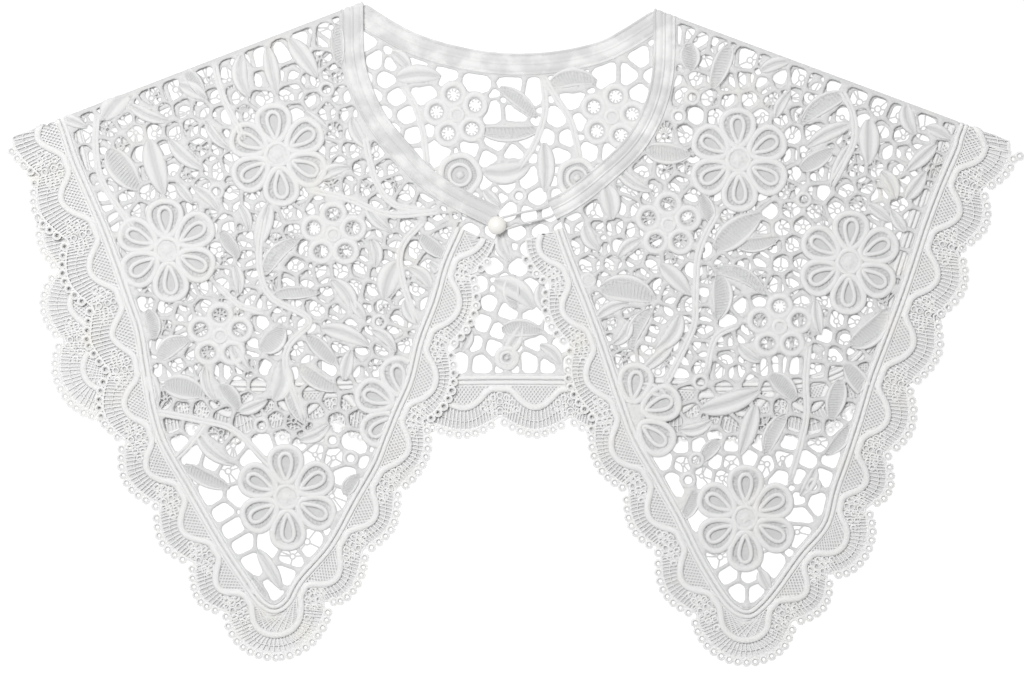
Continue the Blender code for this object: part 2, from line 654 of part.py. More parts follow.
def edging(path, crests, first, last, narrowing, under, height, fold_out=None):
    """Points and faces of the edging between two places along its braid.

    narrowing gives the width's share at each end. Where fold_out is set, the end that is at the
    path's own end turns over the shoulder fold.
    """
    along = lengths(path)
    stops = np.linspace(0, along[-1], len(along) * 2)
    phases = scallop_phase(path, crests, stops)
    shares = np.interp(stops, (0, along[-1]), narrowing)
    first_phase, last_phase = np.interp((first, last), stops, phases)
    marks = np.arange(math.ceil(first_phase * SCALLOP_POINTS + 0.3), last_phase * SCALLOP_POINTS - 0.3)
    outer_stops = np.concatenate([[first], np.interp(marks / SCALLOP_POINTS, phases, stops), [last]])
    share = np.interp(outer_stops, stops, shares)
    crest = np.abs(np.cos(np.pi * np.interp(outer_stops, stops, phases)))
    outer = beside(path, outer_stops, share * (NOTCH_WIDTH + (SCALLOP_WIDTH - NOTCH_WIDTH) * crest))
    inner_stops = braid_stops(first, last)
    inner = beside(path, inner_stops, np.full(len(inner_stops), -BRAID_WIDTH / 2))
    cord_stops = inner_stops[1:-1]
    rows = [(BRAID_CORD, 0.8), (0.0, 0.25), (-BRAID_CORD, 0.8)]
    raised = []
    for width, rise in rows:
        cord = beside(path, cord_stops, np.full(len(cord_stops), width))
        raised.append(np.column_stack([cord, np.full(len(cord), rise)]))
    gimp_stops = outer_stops[1:-1]
    wave = 0.5 + 0.5 * np.cos(2 * np.pi * np.interp(gimp_stops, stops, phases))
    gimp = beside(path, gimp_stops, GIMP_NEAR + (GIMP_FAR - GIMP_NEAR) * wave)
    raised.append(np.column_stack([gimp, np.full(len(gimp), 1.0)]))
    raised = np.vstack(raised) * (1, 1, height)
    across = (0.25, 0.5, 0.75)
    cut_first = [inner[0] + t * (outer[0] - inner[0]) for t in across]
    cut_last = [inner[-1] + t * (outer[-1] - inner[-1]) for t in across]
    if fold_out is None:
        outline = np.vstack([inner[::-1], cut_first, outer, cut_last[::-1]])
        return lace_wall(outline[::-1], [], clear_of(raised, outline), under)
    if first < 1e-6:
        outline = np.vstack([[inner[0]], cut_first, outer, cut_last[::-1], inner[:0:-1]])
    else:
        outline = np.vstack([[outer[-1]], cut_last[::-1], inner[::-1], cut_first, outer[:-1]])
    return lace_wall(outline, [], clear_of(raised, outline), under, len(across) + 2, fold_out)


def clear_of(raised, outline):
    """The raised points that lie well inside an outline."""
    kept = inside(raised[:, :2], outline) & (edge_distance(raised[:, :2], outline) > 0.7)
    return raised[kept]


def tape(pixels, lift, starts, ends):
    """Points and faces of a neck tape, turned over where it starts at a front's shoulder fold."""
    path = smooth(at(pixels), TAPE_STEP)
    side = right_of(path)
    section = np.array(TAPE_SECTION) * (TAPE_WIDTH / 2, TAPE_THICK)
    rows = []
    for point, normal in zip(path, side):
        plan = point + section[:, :1] * normal
        rows.append(np.column_stack([plan, lift + section[:, 1]]))
    for index, fold in ((0, starts), (-1, ends)):
        if fold is None:
            continue
        direction = unit(path[1] - path[0]) if index == 0 else unit(path[-1] - path[-2])
        inset = 0.0 if lift else SEAM
        behind = (rows[index][:, :2] - fold.foot) @ fold.out + inset
        rows[index][:, :2] -= (behind / (direction @ fold.out))[:, None] * direction
    if lift:
        for angle in FOLD_ANGLES:
            corners = zip(rows_plan(rows), section[:, 1])
            turned = [turned_over(p, starts.out, h, TAPE_THICK, angle) for p, h in corners]
            rows.insert(0, np.array(turned))
    return tube(rows)


def rows_plan(rows):
    """The plan places of the tape's own end row, which lies on the fold."""
    flat = [row for row in rows if row[:, 2].min() >= FRONT_LIFT - 1e-9]
    return flat[0][:, :2]


def tube(rows):
    """Points and faces of a closed tube through rows of points, with flat ends."""
    size = len(rows[0])
    points = [tuple(point) for row in rows for point in row]
    faces = []
    for k in range(len(rows) - 1):
        for i in range(size):
            j = (i + 1) % size
            faces.append((k * size + i, k * size + j, (k + 1) * size + j, (k + 1) * size + i))
    faces.append(tuple(range(size - 1, -1, -1)))
    faces.append(tuple((len(rows) - 1) * size + i for i in range(size)))
    return points, faces


def button():
    """Points and faces of the pearl button: a shank under a dome."""
    middle = at(BUTTON)
    base = FRONT_LIFT + TAPE_THICK + SEAM
    dome = base + SHANK_HEIGHT
    arc = np.radians(np.linspace(0, 75, 5))
    profile = [(SHANK_RADIUS, base), (SHANK_RADIUS, dome), (BUTTON_RADIUS * 0.86, dome)]
    profile += [(BUTTON_RADIUS * math.cos(a), dome + 0.5 + DOME_HEIGHT * math.sin(a)) for a in arc]
    turn = np.radians(np.arange(0, 360, 24))
    rows = []
    for radius, z in profile:
        x, y = middle[0] + radius * np.cos(turn), middle[1] + radius * np.sin(turn)
        rows.append(np.column_stack([x, y, np.full(len(turn), z)]))
    return tube(rows)


def button_loop():
    """Points and faces of the cord loop, from the right tape's end round the button's shank."""
    end, before = at(RIGHT_TAPE)[-1], at(RIGHT_TAPE)[-2]
    out = unit(end - before)
    aside = np.array([-out[1], out[0]])
    foot = end + SEAM * out
    middle = at(BUTTON)
    run = unit(middle - foot)
    across = np.array([-run[1], run[0]])
    low = FRONT_LIFT + TAPE_THICK / 2
    high = FRONT_LIFT + TAPE_THICK + SEAM + LOOP_RADIUS + 0.2
    turn = np.radians(np.linspace(-80, 80, 7))
    bend = [middle + LOOP_REACH * (math.cos(a) * run + math.sin(a) * across) for a in turn]
    route = [(*(foot - 2.4 * aside), low), (*(foot - 2.6 * aside + 3 * out), low + 0.5)]
    route += [(*((foot + middle) / 2 - 2.8 * across), high)]
    route += [(*point, high) for point in bend]
    route += [(*((foot + middle) / 2 + 2.8 * across), high)]
    route += [(*(foot + 2.6 * aside + 3 * out), low + 0.5), (*(foot + 2.4 * aside), low)]
    path = smooth(np.array(route), 3.2)
    tangent = np.gradient(path, axis=0)
    tangent /= np.linalg.norm(tangent, axis=1)[:, None]
    side = np.cross(tangent, (0, 0, 1))
    side /= np.linalg.norm(side, axis=1)[:, None]
    up = np.cross(side, tangent)
    turn = np.radians(np.arange(0, 360, 60))
    across, upward = LOOP_RADIUS * np.cos(turn)[:, None], LOOP_RADIUS * np.sin(turn)[:, None]
    return tube([p + across * s + upward * u for p, s, u in zip(path, side, up)])


def flat(points):
    """The back panel's underside."""
    return np.zeros(len(points))


def draped(points):
    """The fronts' underside: level on the back panel, then down to the surface past its hem."""
    fall = np.clip((DRAPE_START - points[:, 1]) / DRAPE_LENGTH, 0, 1)
    return FRONT_LIFT * (1 - fall * fall * (3 - 2 * fall))


def front_panel(side, path, strips):
    """Points and faces of a front panel's lace, inside the strips of edging along its braid's path."""
    left = side.fold.along[0] < 0
    rim = longer(panel_rim(path, strips), 8)
    shift = TAPE_WIDTH / 2 + SEAM
    neck = longer(offset(smooth(at(side.tape), TAPE_STEP), shift if left else -shift), 14)
    if left:
        edges = [fold_path(side.fold), rim, neck[::-1]]
    else:
        edges = [fold_path(side.fold)[::-1], neck, rim]
    outline = outline_of(edges)
    on_line = int((np.abs((outline - side.fold.foot) @ side.fold.out) < 1e-6).sum())
    gaps = chosen_gaps(outline, side.design, FRONT_PITCH, FRONT_GAPS, FRONT_SEED, lambda gap: -area_of(gap))
    raised = relief_points(side.design, outline, gaps, FRONT_RELIEF)
    return lace_wall(outline, gaps, raised, draped, on_line, side.fold.out)


def back_panel(left, right, path, strips):
    """Points and faces of the back panel's lace, cut through where it shows before where it is hidden."""
    rim = longer(panel_rim(path, strips), 8)
    neck = longer(offset(smooth(at(BACK_TAPE), TAPE_STEP), TAPE_WIDTH / 2 + SEAM), 8)
    outline = outline_of([fold_path(left, SEAM), rim, fold_path(right, SEAM)[::-1], neck[::-1]])
    shown = at(NECK_OPENING)

    def rank(gap):
        return np.linalg.norm((gap.mean(axis=0) - shown) * (1.0, 0.62))

    gaps = chosen_gaps(outline, BACK_DESIGN, BACK_PITCH, BACK_GAPS, BACK_SEED, rank)
    raised = relief_points(BACK_DESIGN, outline, gaps, BACK_RELIEF)
    return lace_wall(outline, gaps, raised, flat)


def centred(objects):
    """Moves every mesh so that the whole collar stands over the origin."""
    corners = np.array([vertex.co for piece in objects for vertex in piece.data.vertices])
    middle = (corners.min(axis=0) + corners.max(axis=0)) / 2
    for piece in objects:
        for vertex in piece.data.vertices:
            vertex.co = Vector((vertex.co.x - middle[0], vertex.co.y - middle[1], vertex.co.z))


def build():
    """Clears the scene and makes every piece of the collar."""
    for old in list(bpy.data.objects):
        bpy.data.objects.remove(old)
    lace = material("lace", (0.87, 0.87, 0.86), 0.8)
    trim = material("edging", (0.9, 0.9, 0.89), 0.75)
    binding = material("tape", (0.84, 0.84, 0.83), 0.7)
    pearl = material("pearl", (0.93, 0.92, 0.88), 0.2)
    left, right = fold_line(LEFT_SHOULDER), fold_line(RIGHT_SHOULDER)

    made = []

    def add(name, shape, finish):
        made.append(add_object(name, *shape, finish))

    half = SEAM / 2
    side = Side(left, LEFT_DESIGN, LEFT_BRAID, LEFT_TAPE)
    path = braid_path(side.braid, left, None)
    tip, end = nearest_place(path, at(LEFT_TIP)), lengths(path)[-1]
    outer, inner = (0.0, tip - half), (tip + half, end - EDGING_STOP)
    widths = (1.0, NECK_NARROWING)
    add("left_front_panel", front_panel(side, path, (outer, inner)), lace)
    add("left_outer_edging", edging(path, LEFT_CRESTS, *outer, widths, draped, FRONT_RELIEF, left.out), trim)
    add("left_inner_edging", edging(path, LEFT_CRESTS, *inner, widths, draped, FRONT_RELIEF), trim)

    side = Side(right, RIGHT_DESIGN, RIGHT_BRAID, RIGHT_TAPE)
    path = braid_path(side.braid, None, right)
    tip, end = nearest_place(path, at(RIGHT_TIP)), lengths(path)[-1]
    inner, outer = (EDGING_STOP, tip - half), (tip + half, end)
    widths = (NECK_NARROWING, 1.0)
    add("right_front_panel", front_panel(side, path, (inner, outer)), lace)
    add("right_inner_edging", edging(path, RIGHT_CRESTS, *inner, widths, draped, FRONT_RELIEF), trim)
    outer_edging = edging(path, RIGHT_CRESTS, *outer, widths, draped, FRONT_RELIEF, right.out)
    add("right_outer_edging", outer_edging, trim)

    path = braid_path(BACK_BRAID, left, right, SEAM)
    corners = [nearest_place(path, at(corner)) for corner in (BACK_LEFT_CORNER, BACK_RIGHT_CORNER)]
    end = lengths(path)[-1]
    strips = ((0.0, corners[0] - half), (corners[0] + half, corners[1] - half), (corners[1] + half, end))
    add("back_panel", back_panel(left, right, path, strips), lace)
    for name, strip in zip(("back_left_edging", "back_hem_edging", "back_right_edging"), strips):
        add(name, edging(path, BACK_CRESTS, *strip, BACK_NARROWING, flat, BACK_RELIEF), trim)

    add("left_neck_tape", tape(LEFT_TAPE, FRONT_LIFT, left, None), binding)
    add("right_neck_tape", tape(RIGHT_TAPE, FRONT_LIFT, right, None), binding)
    add("back_neck_tape", tape(BACK_TAPE, 0.0, left, right), binding)
    add("button", button(), pearl)
    add("button_loop", button_loop(), binding)
    centred(made)


build()
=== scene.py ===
"""Looks of the white guipure lace collar: its net, flowers, corded edging, neck tape, button and loop.

Every piece is worked out in the collar's plane in millimetres, as (x, y, height over the underside), and
is then laid: on the surface, on the back panel, or round a shoulder fold. Places that were read off the
photograph are in its pixels and go through at().
"""

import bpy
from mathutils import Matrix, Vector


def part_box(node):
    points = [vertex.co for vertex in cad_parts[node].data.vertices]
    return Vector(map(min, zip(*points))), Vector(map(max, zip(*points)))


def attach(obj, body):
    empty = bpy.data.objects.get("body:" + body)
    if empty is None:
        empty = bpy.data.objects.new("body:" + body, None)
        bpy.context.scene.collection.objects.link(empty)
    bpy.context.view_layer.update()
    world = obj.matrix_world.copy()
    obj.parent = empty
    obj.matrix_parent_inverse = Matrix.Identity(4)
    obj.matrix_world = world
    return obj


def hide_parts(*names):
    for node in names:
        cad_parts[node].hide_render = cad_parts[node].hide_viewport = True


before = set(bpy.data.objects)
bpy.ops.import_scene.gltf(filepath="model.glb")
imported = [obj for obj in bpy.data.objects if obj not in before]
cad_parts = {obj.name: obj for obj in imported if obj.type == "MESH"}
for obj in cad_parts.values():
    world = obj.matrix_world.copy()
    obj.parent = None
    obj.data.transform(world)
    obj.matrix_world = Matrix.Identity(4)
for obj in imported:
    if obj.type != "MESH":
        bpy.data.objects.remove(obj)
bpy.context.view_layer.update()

import logging
import math
from collections.abc import Callable, Sequence
from dataclasses import dataclass, field
from enum import Enum
from typing import NamedTuple

import bpy
import numpy as np
from mathutils import Vector
from mathutils.geometry import delaunay_2d_cdt

Array = np.ndarray
Amount = float | Array
Material = bpy.types.Material
Socket = bpy.types.NodeSocket
LOG = logging.getLogger("collar")

PIXEL = 0.5  # millimetres on the collar for one pixel of the photograph
PHOTO_SIZE = (1024, 678)
MIDDLE = np.array(PHOTO_SIZE) / 2
METRE = 1000.0
CHUNK = 4000  # points that are tested against a polygon at once

WALL = 1.2  # thickness of the lace's ground, with its lift and relief as the solids have them
FRONT_LIFT = 2.2
FULL_RELIEF = 2.1  # the highest stitch over the underside
SEAM = 0.3
DRAPE_START, DRAPE_LENGTH = -52.0, 26.0
UNDERLAP = 0.65  # how far the ground runs in under the braid and the tape

TAPE_WIDTH, TAPE_THICK = 11.0, 1.8
BRAID_WIDTH = 5.0
BRAID_STEP = 11.0
SCALLOP_WIDTH, NOTCH_WIDTH = 31.0, 23.5
GIMP_NEAR, GIMP_FAR = 4.4, 14.0
NECK_NARROWING = 0.72
BACK_NARROWING = (0.95, 0.95)
EDGING_STOP = 9.0
TAPE_STEP = 10.0

FLOWER_RADIUS = 26.0
PETALS = 6
RING_FLOWER_RADIUS = 17.5
RINGS = 5
RING_OUTER, RING_HOLE = 7.2, 3.1
LEAF_WIDTH = 7.0
STEM_RADIUS = 1.2
SMALL_RING = 4.6

FOLD_REACH = (-30.0, 215.0)  # from the neck's end of a fold to past both of its ends
FOLD_SHARE = 0.985  # how much of the way round a fold the cloth goes
NEAR_GAP = 12.0  # further off than this from a gap's middle, nothing touches it


@dataclass(frozen=True)
class Fold:
    """A shoulder fold: a point on it, the direction along it and the direction out over it."""

    foot: Array
    along: Array
    out: Array


@dataclass(frozen=True)
class Flower:
    """A flower's middle in the photograph's pixels, and the turn of its first petal in degrees."""

    x: float
    y: float
    turn: float


@dataclass(frozen=True)
class Design:
    """Where a panel's motifs lie, in pixels. A leaf is foot x, foot y, tip x, tip y, and here its width."""

    flowers: tuple[Flower, ...]
    ring_flowers: tuple[Flower, ...]
    leaves: tuple[tuple[float, ...], ...]  # those that the solids have too
    more_leaves: tuple[tuple[float, ...], ...]
    stems: tuple[tuple[tuple[float, float], ...], ...]
    small_rings: tuple[tuple[float, float], ...]
    roses: tuple[tuple[float, float, float], ...] = ()  # x, y and radius, in pixels


LEFT_DESIGN = Design(
    flowers=(Flower(278, 155, 95), Flower(168, 250, 95), Flower(287, 497, 92), Flower(405, 408, 100)),
    ring_flowers=(Flower(334, 235, 90), Flower(221, 336, 90)),
    leaves=(
        (338, 25, 340, 68, 14), (290, 40, 318, 78, 18), (243, 55, 250, 98, 17), (268, 48, 278, 95, 16),
        (180, 85, 208, 100, 16), (105, 120, 135, 90, 24), (150, 140, 165, 195, 21),
        (110, 150, 140, 190, 26), (170, 140, 205, 170, 15), (222, 232, 240, 258, 15),
        (235, 265, 240, 295, 13), (265, 275, 300, 240, 16), (275, 295, 320, 293, 14),
        (333, 280, 355, 315, 17), (262, 350, 283, 325, 23), (275, 400, 282, 360, 24),
        (308, 335, 338, 365, 17), (300, 365, 340, 390, 17), (290, 380, 308, 425, 14),
        (160, 360, 190, 340, 19), (165, 385, 205, 395, 25), (222, 385, 240, 410, 16),
        (398, 262, 385, 300, 22), (420, 235, 448, 258, 15), (410, 268, 432, 290, 13),
        (405, 300, 420, 325, 13), (197, 430, 235, 465, 14), (185, 465, 230, 488, 16),
        (258, 550, 282, 590, 14), (235, 565, 270, 600, 15), (345, 495, 360, 475, 14),
        (148, 310, 155, 340, 16),
    ),
    more_leaves=(
        (270, 203, 257, 250, 17), (322, 328, 370, 346, 17), (184, 70, 205, 98, 14),
        (206, 366, 217, 402, 11), (178, 184, 194, 204, 11), (352, 118, 372, 150, 13),
        (366, 205, 392, 232, 12), (345, 380, 352, 350, 14), (352, 300, 366, 320, 12),
        (240, 412, 268, 400, 13), (300, 440, 330, 424, 12), (150, 372, 160, 402, 13),
        (232, 345, 250, 372, 13), (372, 330, 396, 352, 12), (130, 105, 170, 122, 13),
        (62, 118, 88, 128, 12), (318, 180, 350, 168, 13), (195, 188, 220, 212, 12),
        (430, 262, 444, 290, 12), (352, 72, 364, 108, 12), (305, 112, 330, 132, 11),
        (207, 122, 230, 150, 11), (372, 240, 376, 268, 12), (240, 205, 250, 232, 11),
    ),
    stems=(
        ((215, 65), (225, 100), (245, 140)),
        ((98, 115), (97, 150), (105, 185), (135, 230)),
        ((265, 215), (260, 250), (263, 280), (275, 300), (310, 320), (290, 345), (287, 370), (305, 420)),
        ((218, 285), (240, 305), (265, 313)),
        ((365, 135), (370, 160), (378, 185), (395, 205), (430, 212)),
        ((308, 190), (350, 200), (390, 215), (440, 212)),
        ((425, 220), (402, 248), (403, 280), (418, 325)),
        ((157, 412), (200, 420), (235, 430), (270, 465)),
        ((205, 425), (190, 445), (175, 460)),
    ),
    small_rings=((327, 90), (217, 192), (262, 425), (380, 322), (333, 440), (351, 458)),
)
RIGHT_DESIGN = Design(
    flowers=(Flower(738, 160, 90), Flower(848, 262, 88), Flower(745, 518, 90), Flower(630, 415, 80)),
    ring_flowers=(Flower(668, 225, 90), Flower(779, 327, 90)),
    leaves=(
        (688, 45, 690, 72, 20), (730, 45, 712, 90, 18), (845, 95, 800, 125, 19), (850, 125, 805, 148, 16),
        (868, 120, 868, 165, 21), (850, 145, 830, 190, 13), (905, 105, 915, 135, 16),
        (935, 145, 905, 172, 14), (645, 150, 690, 155, 21), (605, 185, 612, 220, 20),
        (715, 250, 760, 215, 26), (715, 270, 765, 295, 15), (718, 275, 717, 320, 20),
        (600, 290, 655, 300, 27), (660, 265, 690, 295, 17), (650, 310, 630, 350, 16),
        (680, 315, 655, 350, 17), (850, 345, 885, 310, 23), (840, 380, 830, 420, 20),
        (700, 410, 760, 390, 20), (755, 405, 740, 455, 18), (785, 415, 765, 455, 18),
        (770, 375, 795, 400, 20), (850, 425, 825, 455, 15), (695, 490, 680, 520, 14),
        (760, 570, 770, 590, 14),
    ),
    more_leaves=(
        (800, 170, 832, 150, 17), (615, 165, 652, 192, 13), (845, 364, 872, 400, 20),
        (597, 318, 628, 304, 13), (735, 245, 778, 238, 16), (905, 200, 925, 172, 15),
        (880, 172, 895, 200, 14), (760, 72, 790, 62, 13), (640, 240, 618, 258, 13),
        (585, 225, 600, 250, 14), (700, 195, 712, 225, 14), (775, 118, 790, 92, 12),
        (630, 320, 612, 345, 13), (738, 345, 760, 362, 13), (680, 430, 712, 420, 13),
        (720, 440, 700, 462, 14), (815, 300, 820, 335, 12), (905, 232, 890, 210, 12),
        (640, 385, 668, 398, 13), (815, 468, 800, 496, 13), (868, 205, 890, 222, 12),
        (672, 345, 640, 372, 12), (806, 60, 830, 76, 12), (925, 128, 950, 140, 13),
    ),
    stems=(
        ((718, 212), (705, 235), (697, 260), (695, 300), (692, 330), (665, 385)),
        ((840, 90), (852, 115), (852, 145), (830, 185)),
        ((808, 345), (805, 380), (805, 420), (790, 480)),
        ((738, 325), (715, 338), (706, 372)),
    ),
    small_rings=(
        (692, 98), (678, 117), (588, 281), (803, 200), (700, 382), (696, 460), (688, 480), (813, 486),
    ),
)
BACK_DESIGN = Design(
    flowers=(),
    ring_flowers=(Flower(457, 115, 100), Flower(612, 117, 80)),
    leaves=(
        (396, 79, 441, 77, 20), (549, 86, 597, 82, 20), (479, 130, 542, 128, 17), (500, 88, 537, 118, 15),
        (484, 172, 530, 165, 21), (544, 143, 545, 192, 17), (515, 275, 517, 310, 16),
        (505, 355, 522, 325, 15),
    ),
    more_leaves=(
        (392, 52, 410, 70, 14), (494, 282, 534, 309, 22), (540, 345, 562, 366, 13),
        (502, 330, 542, 332, 18), (541, 284, 548, 314, 13), (484, 190, 500, 206, 12),
        (500, 232, 512, 262, 13), (470, 330, 462, 352, 13),
    ),
    stems=(
        ((402, 86), (414, 104), (423, 132), (427, 166)),
        ((543, 76), (556, 98), (571, 122), (580, 160)),
        ((543, 78), (545, 112), (534, 145), (519, 168)),
    ),
    small_rings=((519, 196),),
    roses=((460, 175, 23), (577, 178, 21), (507, 358, 13)),
)

# The middle of each braid, anticlockwise round its panel, and the crest of each scallop.
LEFT_BRAID = (
    (62, 122), (75, 160), (90, 195), (105, 230), (118, 265), (130, 300), (140, 330), (145, 360),
    (150, 390), (155, 415), (165, 445), (190, 490), (222, 545), (245, 580), (261, 602), (275, 609),
    (288, 601), (300, 580), (330, 545), (355, 500), (375, 465), (385, 440), (397, 410), (410, 380),
    (420, 340), (435, 300), (445, 265), (458, 235), (468, 212),
)
RIGHT_BRAID = (
    (553, 212), (562, 240), (575, 275), (585, 300), (600, 340), (610, 370), (620, 400), (635, 440),
    (655, 475), (680, 520), (700, 560), (720, 593), (734, 609), (748, 614), (760, 607), (775, 590),
    (800, 555), (825, 525), (835, 490), (845, 460), (858, 420), (870, 380), (885, 340), (900, 300),
    (912, 265), (925, 225), (940, 185), (955, 150), (962, 128),
)
BACK_BRAID = (
    (72, 120), (88, 190), (96, 260), (99, 325), (112, 368), (155, 384), (230, 387), (300, 387),
    (370, 384), (440, 381), (512, 380), (590, 381), (660, 384), (730, 387), (800, 384), (850, 366),
    (880, 325), (900, 260), (920, 200), (945, 122),
)
LEFT_CRESTS = (
    (38, 140), (68, 200), (97, 270), (118, 335), (130, 405), (150, 470), (185, 530), (222, 585),
    (275, 635), (335, 578), (373, 517), (411, 452), (438, 385), (460, 310), (486, 243),
)
RIGHT_CRESTS = (
    (542, 250), (563, 312), (585, 380), (610, 455), (645, 520), (685, 580), (743, 640), (800, 590),
    (835, 540), (866, 482), (888, 420), (908, 345), (933, 278), (957, 215), (990, 150),
)
BACK_CRESTS = (
    (40, 165), (55, 235), (60, 305), (80, 385), (155, 410), (230, 412), (300, 412), (370, 410),
    (465, 405), (535, 405), (605, 406), (675, 410), (745, 412), (810, 408), (880, 378), (915, 300),
    (935, 235), (955, 170),
)
LEFT_TIP, RIGHT_TIP = (275, 609), (748, 614)
BACK_CORNERS = ((112, 368), (850, 366))
LEFT_TAPE = (
    (353, 10), (354, 60), (364, 95), (379, 125), (400, 150), (425, 178), (450, 195), (475, 208), (500, 220),
)
RIGHT_TAPE = (
    (664, 16), (664, 60), (660, 90), (650, 120), (635, 145), (615, 165), (595, 182), (575, 198), (552, 210),
)
BACK_TAPE = (
    (354, 9), (378, 25), (410, 43), (455, 57), (500, 64), (552, 63), (600, 53), (630, 38), (664, 16),
)
LEFT_SHOULDER, RIGHT_SHOULDER = ((365, 5), (4, 144)), ((655, 13), (1019, 148))
BUTTON = (497, 226)


def at(points: Sequence | Array) -> Array:
    """Places in the collar's plane for places in the photograph's pixels.

    Args:
        points: one place or many, in pixels from the photograph's upper left corner.
    Returns:
        The places in millimetres from the photograph's middle, with y upwards.
    """
    return (np.asarray(points, float) - MIDDLE) * (PIXEL, -PIXEL)


def unit(vector: Array) -> Array:
    """The vector with a length of one."""
    return vector / np.linalg.norm(vector)


def turns(count: int, offset: float = 0.0) -> Array:
    """Even angles once round, the first of them `offset` steps on."""
    return 2 * np.pi * (np.arange(count) + offset) / count


def circle(count: int, offset: float = 0.0) -> Array:
    """Points at even angles round a circle with a radius of one."""
    angle = turns(count, offset)
    return np.column_stack([np.cos(angle), np.sin(angle)])


def lengths(path: Array) -> Array:
    """How far along a path each of its points lies."""
    return np.concatenate([[0.0], np.cumsum(np.linalg.norm(np.diff(path, axis=0), axis=1))])


def resampled(path: Array, step: float) -> Array:
    """Points at even distances of about `step` along a path."""
    along = lengths(path)
    stops = np.linspace(0, along[-1], max(2, round(along[-1] / step) + 1))
    return np.column_stack([np.interp(stops, along, path[:, axis]) for axis in range(path.shape[1])])


def smooth(points: Array, step: float) -> Array:
    """Points at even distances along a Catmull-Rom curve through the given points.

    Args:
        points: the places that the curve goes through.
        step: the distance between two points of the result.
    Returns:
        The curve's points: between b and c it is b + (c - a) t / 2 and the usual square and cube terms.
    """
    ends = np.vstack([2 * points[0] - points[1], points, 2 * points[-1] - points[-2]])
    t = np.linspace(0, 1, 13)[:-1, None]
    pieces = []
    for a, b, c, d in zip(ends, ends[1:], ends[2:], ends[3:]):
        square, cube = (2 * a - 5 * b + 4 * c - d) / 2, (3 * b - a - 3 * c + d) / 2
        pieces.append(b + (c - a) * t / 2 + square * t**2 + cube * t**3)
    return resampled(np.vstack(pieces + [points[-1:]]), step)


def sideways(paths: Array, closed: bool = False) -> Array:
    """The unit normal on the right-hand side of each point of one path or of many.

    Args:
        paths: points in rows, with any number of paths before them.
        closed: whether each path's last point meets its first.
    Returns:
        An array of the same shape.
    """
    if closed:
        tangent = np.roll(paths, -1, axis=-2) - np.roll(paths, 1, axis=-2)
    else:
        tangent = np.gradient(paths, axis=-2)
    tangent = tangent / np.maximum(np.linalg.norm(tangent, axis=-1, keepdims=True), 1e-9)
    return np.stack([tangent[..., 1], -tangent[..., 0]], axis=-1)


def longer(path: Array, extra: float) -> Array:
    """A path with a straight stretch added at both ends."""
    first = path[0] + extra * unit(path[0] - path[1])
    last = path[-1] + extra * unit(path[-1] - path[-2])
    return np.vstack([first, path, last])


def cross(a: Array, b: Array) -> Array:
    """The cross product of plane vectors."""
    return a[..., 0] * b[..., 1] - a[..., 1] * b[..., 0]


def crossing(a: Array, b: Array) -> tuple[float, float, Array]:
    """Where path a first crosses path b.

    Args:
        a: the path that is followed.
        b: the path that it crosses.
    Returns:
        The place along each path, counted in points, and the point.
    """
    run, other = np.diff(a, axis=0)[:, None], np.diff(b, axis=0)[None]
    gap = b[None, :-1] - a[:-1, None]
    with np.errstate(divide="ignore", invalid="ignore"):
        t = cross(gap, other) / cross(run, other)
        u = cross(gap, run) / cross(run, other)
    i, j = np.argwhere((t >= 0) & (t < 1) & (u >= 0) & (u < 1))[0]
    return i + t[i, j], j + u[i, j], a[i] + t[i, j] * run[i, 0]


def outline_of(edges: list[Array]) -> Array:
    """A closed outline from paths that each cross the next, cut where they cross."""
    meets = [crossing(a, b) for a, b in zip(edges, edges[1:] + edges[:1])]
    points = []
    for i, edge in enumerate(edges):
        first, corner = meets[i - 1][1], meets[i - 1][2]
        last, next_corner = meets[i][0], meets[i][2]
        between = edge[math.ceil(first) : math.floor(last) + 1]
        near = np.linalg.norm(between[:, None] - (corner, next_corner), axis=2).min(axis=1)
        points += [corner[None], between[near > 1]]
    return np.vstack(points)


def in_chunks(measure: Callable[[Array, Array], Array], points: Array, polygon: Array) -> Array:
    """What a measure says of many points beside a polygon, worked out for some of them at a time."""
    parts = np.array_split(points, len(points) // CHUNK + 1)
    return np.concatenate([measure(part, polygon) for part in parts])


def inside(points: Array, polygon: Array) -> Array:
    """Which points lie inside a polygon, by the even-odd rule."""
    if len(points) > CHUNK:
        return in_chunks(inside, points, polygon)
    x, y = points[:, 0, None], points[:, 1, None]
    x0, y0 = polygon[:, 0], polygon[:, 1]
    x1, y1 = np.roll(x0, -1), np.roll(y0, -1)
    spans = (y0 > y) != (y1 > y)
    with np.errstate(divide="ignore", invalid="ignore"):
        hits = spans & (x < (x1 - x0) * (y - y0) / (y1 - y0) + x0)
    return hits.sum(axis=1) % 2 == 1


def from_edge(points: Array, polygon: Array) -> Array:
    """How far inside a polygon each point lies, negative outside it."""
    if len(points) > CHUNK:
        return in_chunks(from_edge, points, polygon)
    start, run = polygon, np.roll(polygon, -1, axis=0) - polygon
    to = points[:, None] - start
    part = np.clip((to * run).sum(axis=2) / (run**2).sum(axis=1), 0, 1)
    away = np.linalg.norm(to - part[..., None] * run, axis=2).min(axis=1)
    return np.where(inside(points, polygon), away, -away)


def area_of(polygon: Array) -> float:
    """A polygon's area, positive where it runs anticlockwise."""
    return float(0.5 * cross(polygon, np.roll(polygon, -1, axis=0)).sum())


def nearest_place(path: Array, point: Array) -> float:
    """How far along a path its nearest point to the given one lies."""
    return float(lengths(path)[np.argmin(np.linalg.norm(path - point, axis=1))])


